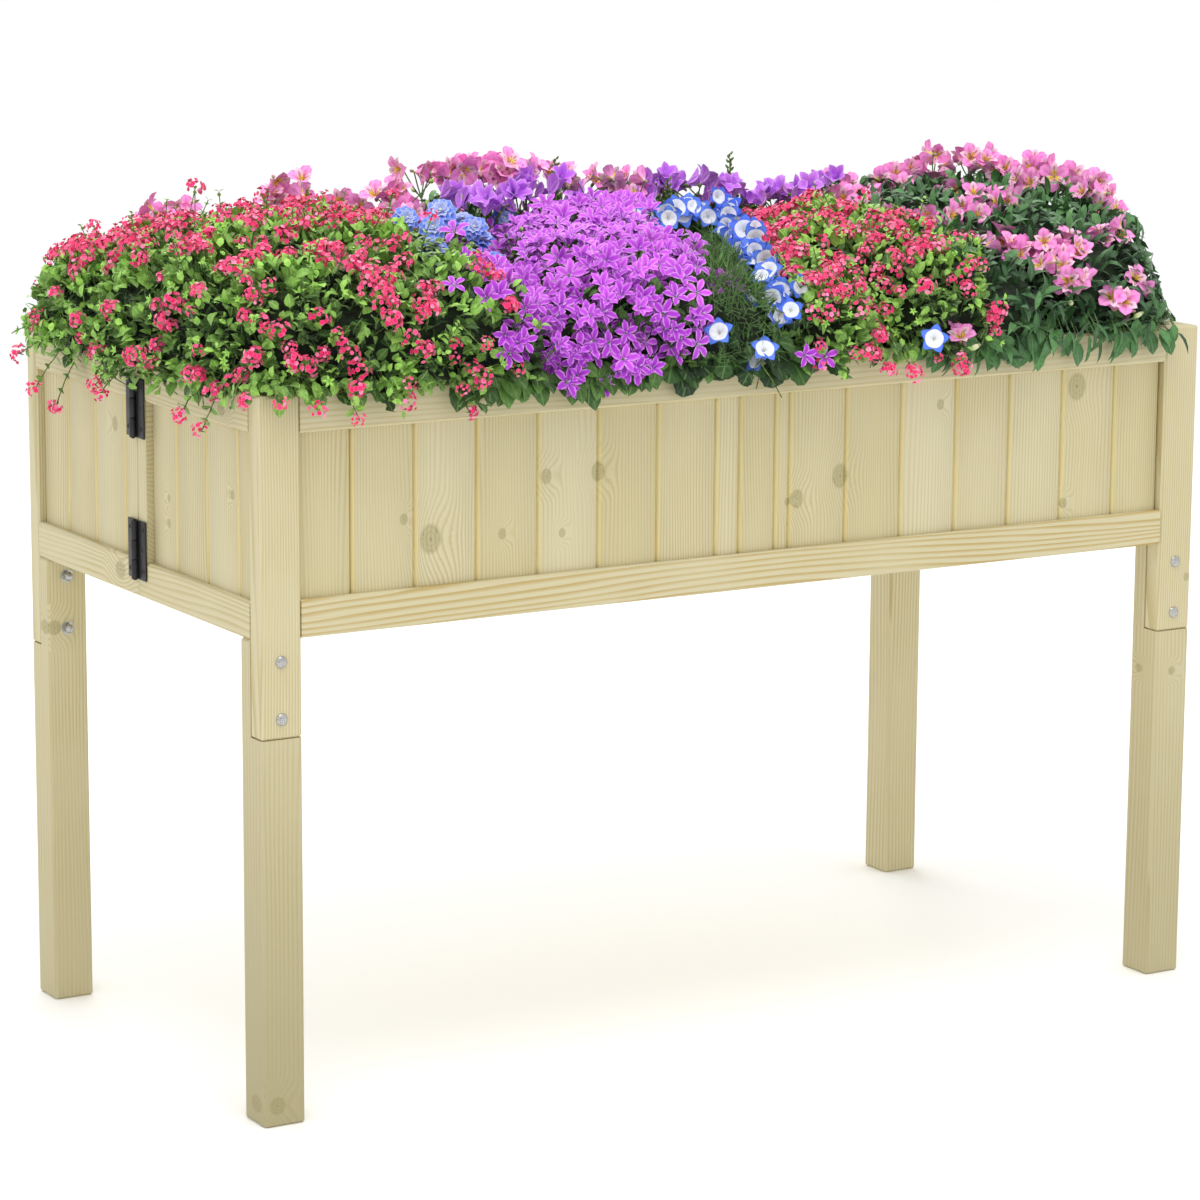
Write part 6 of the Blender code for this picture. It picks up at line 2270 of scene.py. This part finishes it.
@dataclass
class Nemophila(Plant):
    """Nemophila: an arc of white cups with blue points, over fine feathery leaves."""

    needle_count: int = 4300
    leaf_count: int = 500
    skirt_count: int = 200
    skirt: float = 0.845
    edges: Rims = ()
    arc: tuple[Vec, ...] = ((0.031, 0.015, 0.902), (0.072, 0.04, 0.904), (0.126, 0.062, 0.915),
                            (0.163, 0.058, 0.903), (0.167, 0.012, 0.893), (0.126, -0.066, 0.891),
                            (0.095, -0.135, 0.886), (0.066, -0.185, 0.873), (0.056, -0.235, 0.862),
                            (0.036, -0.282, 0.85), (0.031, -0.302, 0.828))
    strays: tuple[Vec, ...] = ((-0.025, -0.338, 0.788), (-0.072, -0.33, 0.822), (-0.02, -0.338, 0.8),
                               (0.205, -0.34, 0.8))
    spacing: float = 0.025
    per_station: int = 3

    def __post_init__(self) -> None:
        """Space the flowers' stations along the arc, and keep them free."""
        self.stations = along([(self.arc, self.spacing)])
        self.canopy.keep_free(self.plant, [*self.stations, *self.strays], 0.02)

    def flower(self) -> Form:
        """Model a flower: a white cup of five round petals inside five broad blue points."""
        cup = Blade(0.0142, 0.015, 0.62, 0.6, 0.86, 0.05, 0.22, 0.0006, 4).model(1)
        point = Blade(0.0212, 0.015, 0.52, 0.92, 0.84, -0.15, 0.22, 0.0006, 5).model()
        stamen = Blade(0.0075, 0.0009, 0.7, 0.6, 1.3, 1.0, 0.0, 0.0009, 2).model(2)
        calyx = bead(5, 3, 0.0022, 0.005, 3, -0.0042, 0.2)
        return Form.joined([whorl(point, 5, 0.0, 0.0, 0.0006), whorl(cup, 5, 0.0, 0.0009, 0.0006),
                            whorl(stamen, 5, 0.6, 0.001, 0.0003), calyx])

    def build(self) -> None:
        """Grow the plant and make its pieces."""
        bush = self.bush(0.5, 2.0, (14, 40, 16), (88, 140, 58), (116, 158, 84))
        lobed = blades((0.027, 0.029, 0.52, 0.5, 0.2, -0.4, 0.1, 0.0006, 6, 0.07),
                       (0.022, 0.023, 0.52, 0.5, 0.4, -0.3, 0.1, 0.0006, 6, 0.07))
        rng = bush.rng
        leaves = blades((0.02, 0.0045, 0.45, 0.9, 0.6, -0.4, 0.2))
        bush.scatter_leaves(leaves, self.leaf_count, (-0.01, 0.012), (0.6, 1.1), (0.0, 0.6))
        places, outward, out = self.canopy.sample(self.plant, self.needle_count, rng, (-0.01, 0.02), 26.0)
        clear = ~self.canopy.shut_out(self.plant, places, True)
        places, outward, out = places[clear], outward[clear], out[clear]
        facing = unit(outward * 0.6 + UP * 0.35 + unit(rng.normal(size=places.shape)) * 0.9)
        count = len(places)
        axes = axes_about(facing, rng.uniform(0, 6, count), rng.uniform(0.6, 1.3, count))
        # Painted shade: needles deeper in the hollows get the darker, shaded green.
        bush.leaves.add(needle(0.0009, 0.019), places, axes,
                        np.clip(-0.3 + 0.8 * out + rng.normal(size=count) * 0.26, 0, 1))
        centres = np.repeat(self.stations, self.per_station, axis=0)
        centres = centres + rng.normal(size=centres.shape) * np.array([0.012, 0.01, 0.008])
        centres = np.vstack([centres, np.array(self.strays)])
        facing = unit(np.array([[-0.35, -0.85, 0.42]]) + rng.normal(size=centres.shape) * 0.3)
        bush.set_about(bush.blooms, self.flower(), centres, facing, (0.66, 1.02), (0.1, 1))
        bush.add_stems(centres - facing * 0.04 - UP * 0.02, centres - facing * 0.003, 0.0008, 0.5)
        bush.hang(self.edges, (lobed, (0.9, 1.25), (0.0, 0.45)))
        places, outward, _ = self.canopy.sample(self.plant, self.skirt_count, rng, (0.0, 0.014))
        low = places[:, 2] < self.skirt
        growth = unit(outward[low] * 0.6 + rng.normal(size=(low.sum(), 3)) * 0.5 - UP * 0.5)
        axes = axes_from(growth, outward[low] + UP * 0.5, rng.uniform(0.6, 1.0, low.sum()))
        bush.leaves.add(lobed[1], places[low], axes, rng.uniform(0.0, 0.35, low.sum()))
        bush.build([self.petal("petal", (238, 242, 250), (96, 140, 244), (52, 96, 232), (48, 80, 208), (60, 96, 232),
                               0.56, 0.5, 0.25),
                    self.petal("cup", (246, 248, 236), (244, 246, 250), (226, 232, 252), (196, 206, 236),
                               (224, 230, 246), 0.3, 0.7, 0.25),
                    self.speckled("stamen", (110, 120, 160), (226, 228, 236), 700.0, 0.6),
                    self.speckled("calyx", (54, 88, 36), (112, 146, 66), 400.0, 0.6)])


def main() -> None:
    """Build the planted bed and the studio, and report each part."""
    logging.basicConfig(level=logging.INFO, format="%(message)s")
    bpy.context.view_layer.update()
    Studio().build()
    canopy = Canopy()
    left_trails = (((-0.6, 0.231, 0.8), (-0.662, 0.231, 0.794)), ((-0.6, 0.201, 0.795), (-0.67, 0.19, 0.776)),
                   ((-0.6, 0.18, 0.79), (-0.652, 0.19, 0.734)), ((-0.6, 0.14, 0.79), (-0.645, 0.148, 0.722)),
                   ((-0.59, 0.0, 0.8), (-0.655, 0.002, 0.755)), ((-0.59, 0.03, 0.8), (-0.655, 0.018, 0.762)),
                   ((-0.6, -0.17, 0.79), (-0.65, -0.187, 0.756)), ((-0.6, -0.21, 0.79), (-0.645, -0.228, 0.744)),
                   ((-0.6, -0.27, 0.8), (-0.641, -0.325, 0.788)), ((-0.6, -0.27, 0.8), (-0.607, -0.335, 0.786)),
                   ((-0.55, -0.27, 0.8), (-0.562, -0.332, 0.772)), ((-0.52, -0.27, 0.8), (-0.514, -0.33, 0.76)),
                   ((-0.45, -0.27, 0.8), (-0.459, -0.33, 0.775)), ((-0.39, -0.27, 0.795), (-0.382, -0.33, 0.758)),
                   ((-0.4, -0.27, 0.8), (-0.394, -0.335, 0.784)))
    right_trails = (((0.21, -0.27, 0.8), (0.217, -0.33, 0.778)), ((0.26, -0.27, 0.8), (0.25, -0.332, 0.765)),
                    ((0.12, -0.27, 0.8), (0.06, -0.332, 0.78)), ((0.15, -0.27, 0.8), (0.15, -0.332, 0.768)),
                    ((0.18, -0.27, 0.8), (0.185, -0.332, 0.762)))
    rear = ((((-0.483, 0.24, 0.903), (-0.45, 0.22, 0.925)), 0.022),
            (((-0.352, 0.2, 0.944), (-0.312, 0.2, 0.931)), 0.019),
            (((-0.258, 0.2, 0.923), (-0.236, 0.17, 0.92)), 0.022),
            (((-0.246, 0.06, 0.926), (-0.233, 0.12, 0.945), (-0.204, 0.11, 0.964), (-0.156, 0.09, 0.974),
              (-0.072, 0.08, 0.966)), 0.026),
            (((-0.012, 0.12, 0.95), (0.062, 0.12, 0.942), (0.115, 0.14, 0.93)), 0.04),
            (((-0.17, 0.23, 0.92), (-0.075, 0.24, 0.915)), 0.09))
    right = ((((0.464, 0.1, 0.926), (0.518, 0.1, 0.952), (0.565, 0.08, 0.954), (0.603, 0.0, 0.941),
               (0.63, -0.08, 0.937), (0.626, -0.14, 0.902)), 0.031),
             (((0.423, 0.08, 0.919), (0.372, 0.09, 0.91), (0.358, 0.01, 0.91), (0.366, -0.08, 0.907)), 0.058),
             (((0.368, -0.09, 0.906), (0.416, -0.12, 0.913), (0.461, -0.09, 0.927), (0.488, -0.1, 0.92)), 0.027),
             (((0.499, 0.02, 0.927), (0.57, -0.03, 0.932)), 0.08),
             (((0.387, -0.21, 0.881), (0.412, -0.24, 0.878), (0.442, -0.27, 0.885), (0.422, -0.3, 0.861),
               (0.445, -0.32, 0.846)), 0.023),
             (((0.522, -0.24, 0.896), (0.55, -0.25, 0.891)), 0.026),
             (((0.494, -0.32, 0.822), (0.55, -0.3, 0.836)), 0.052),
             (((0.46, 0.2, 0.92), (0.52, 0.2, 0.92), (0.583, 0.15, 0.925)), 0.064),
             (((0.241, -0.34, 0.806),), 1.0))
    front, back, left_end, right_end = Edge.FRONT, Edge.REAR, Edge.LEFT, Edge.RIGHT
    plants = (Lantana("lantana_left", canopy, 11, 6600, 470, 50, left_trails,
                      ((front, (-0.6, -0.36), 60), (left_end, (-0.28, 0.27), 76), (back, (-0.6, -0.43), 24))),
              Alstroemeria("alstroemeria_rear", canopy, 12, 1200, rear, ((back, (-0.42, 0.0), 40),)),
              DoubleBellflower("double_bellflower", canopy, 13),
              Campanula("campanula", canopy, 14, ((front, (-0.38, -0.19), 46), (front, (-0.24, -0.05), 20))),
              TallBellflower("tall_bellflower", canopy, 15, ((back, (0.01, 0.37), 40),)),
              Nemophila("nemophila", canopy, 16, edges=((front, (-0.16, -0.03), 26), (front, (-0.04, 0.09), 14))),
              Lantana("lantana_right", canopy, 17, 3000, 330, 24, right_trails, ((front, (0.04, 0.25), 56),)),
              Alstroemeria("alstroemeria_right", canopy, 18, 2500, right,
                           ((front, (0.22, 0.385), 62), (front, (0.38, 0.6), 22), (right_end, (-0.29, 0.28), 60),
                            (back, (0.38, 0.59), 24)),
                           ((front, (0.24, 0.6), 64), (right_end, (-0.3, 0.28), 30))))
    for part in (TimberBox(), Ironmongery(), Filling(), *plants):
        LOG.info("building %s", type(part).__name__)
        part.build()
    deselect()


if __name__ == "__main__":
    main()
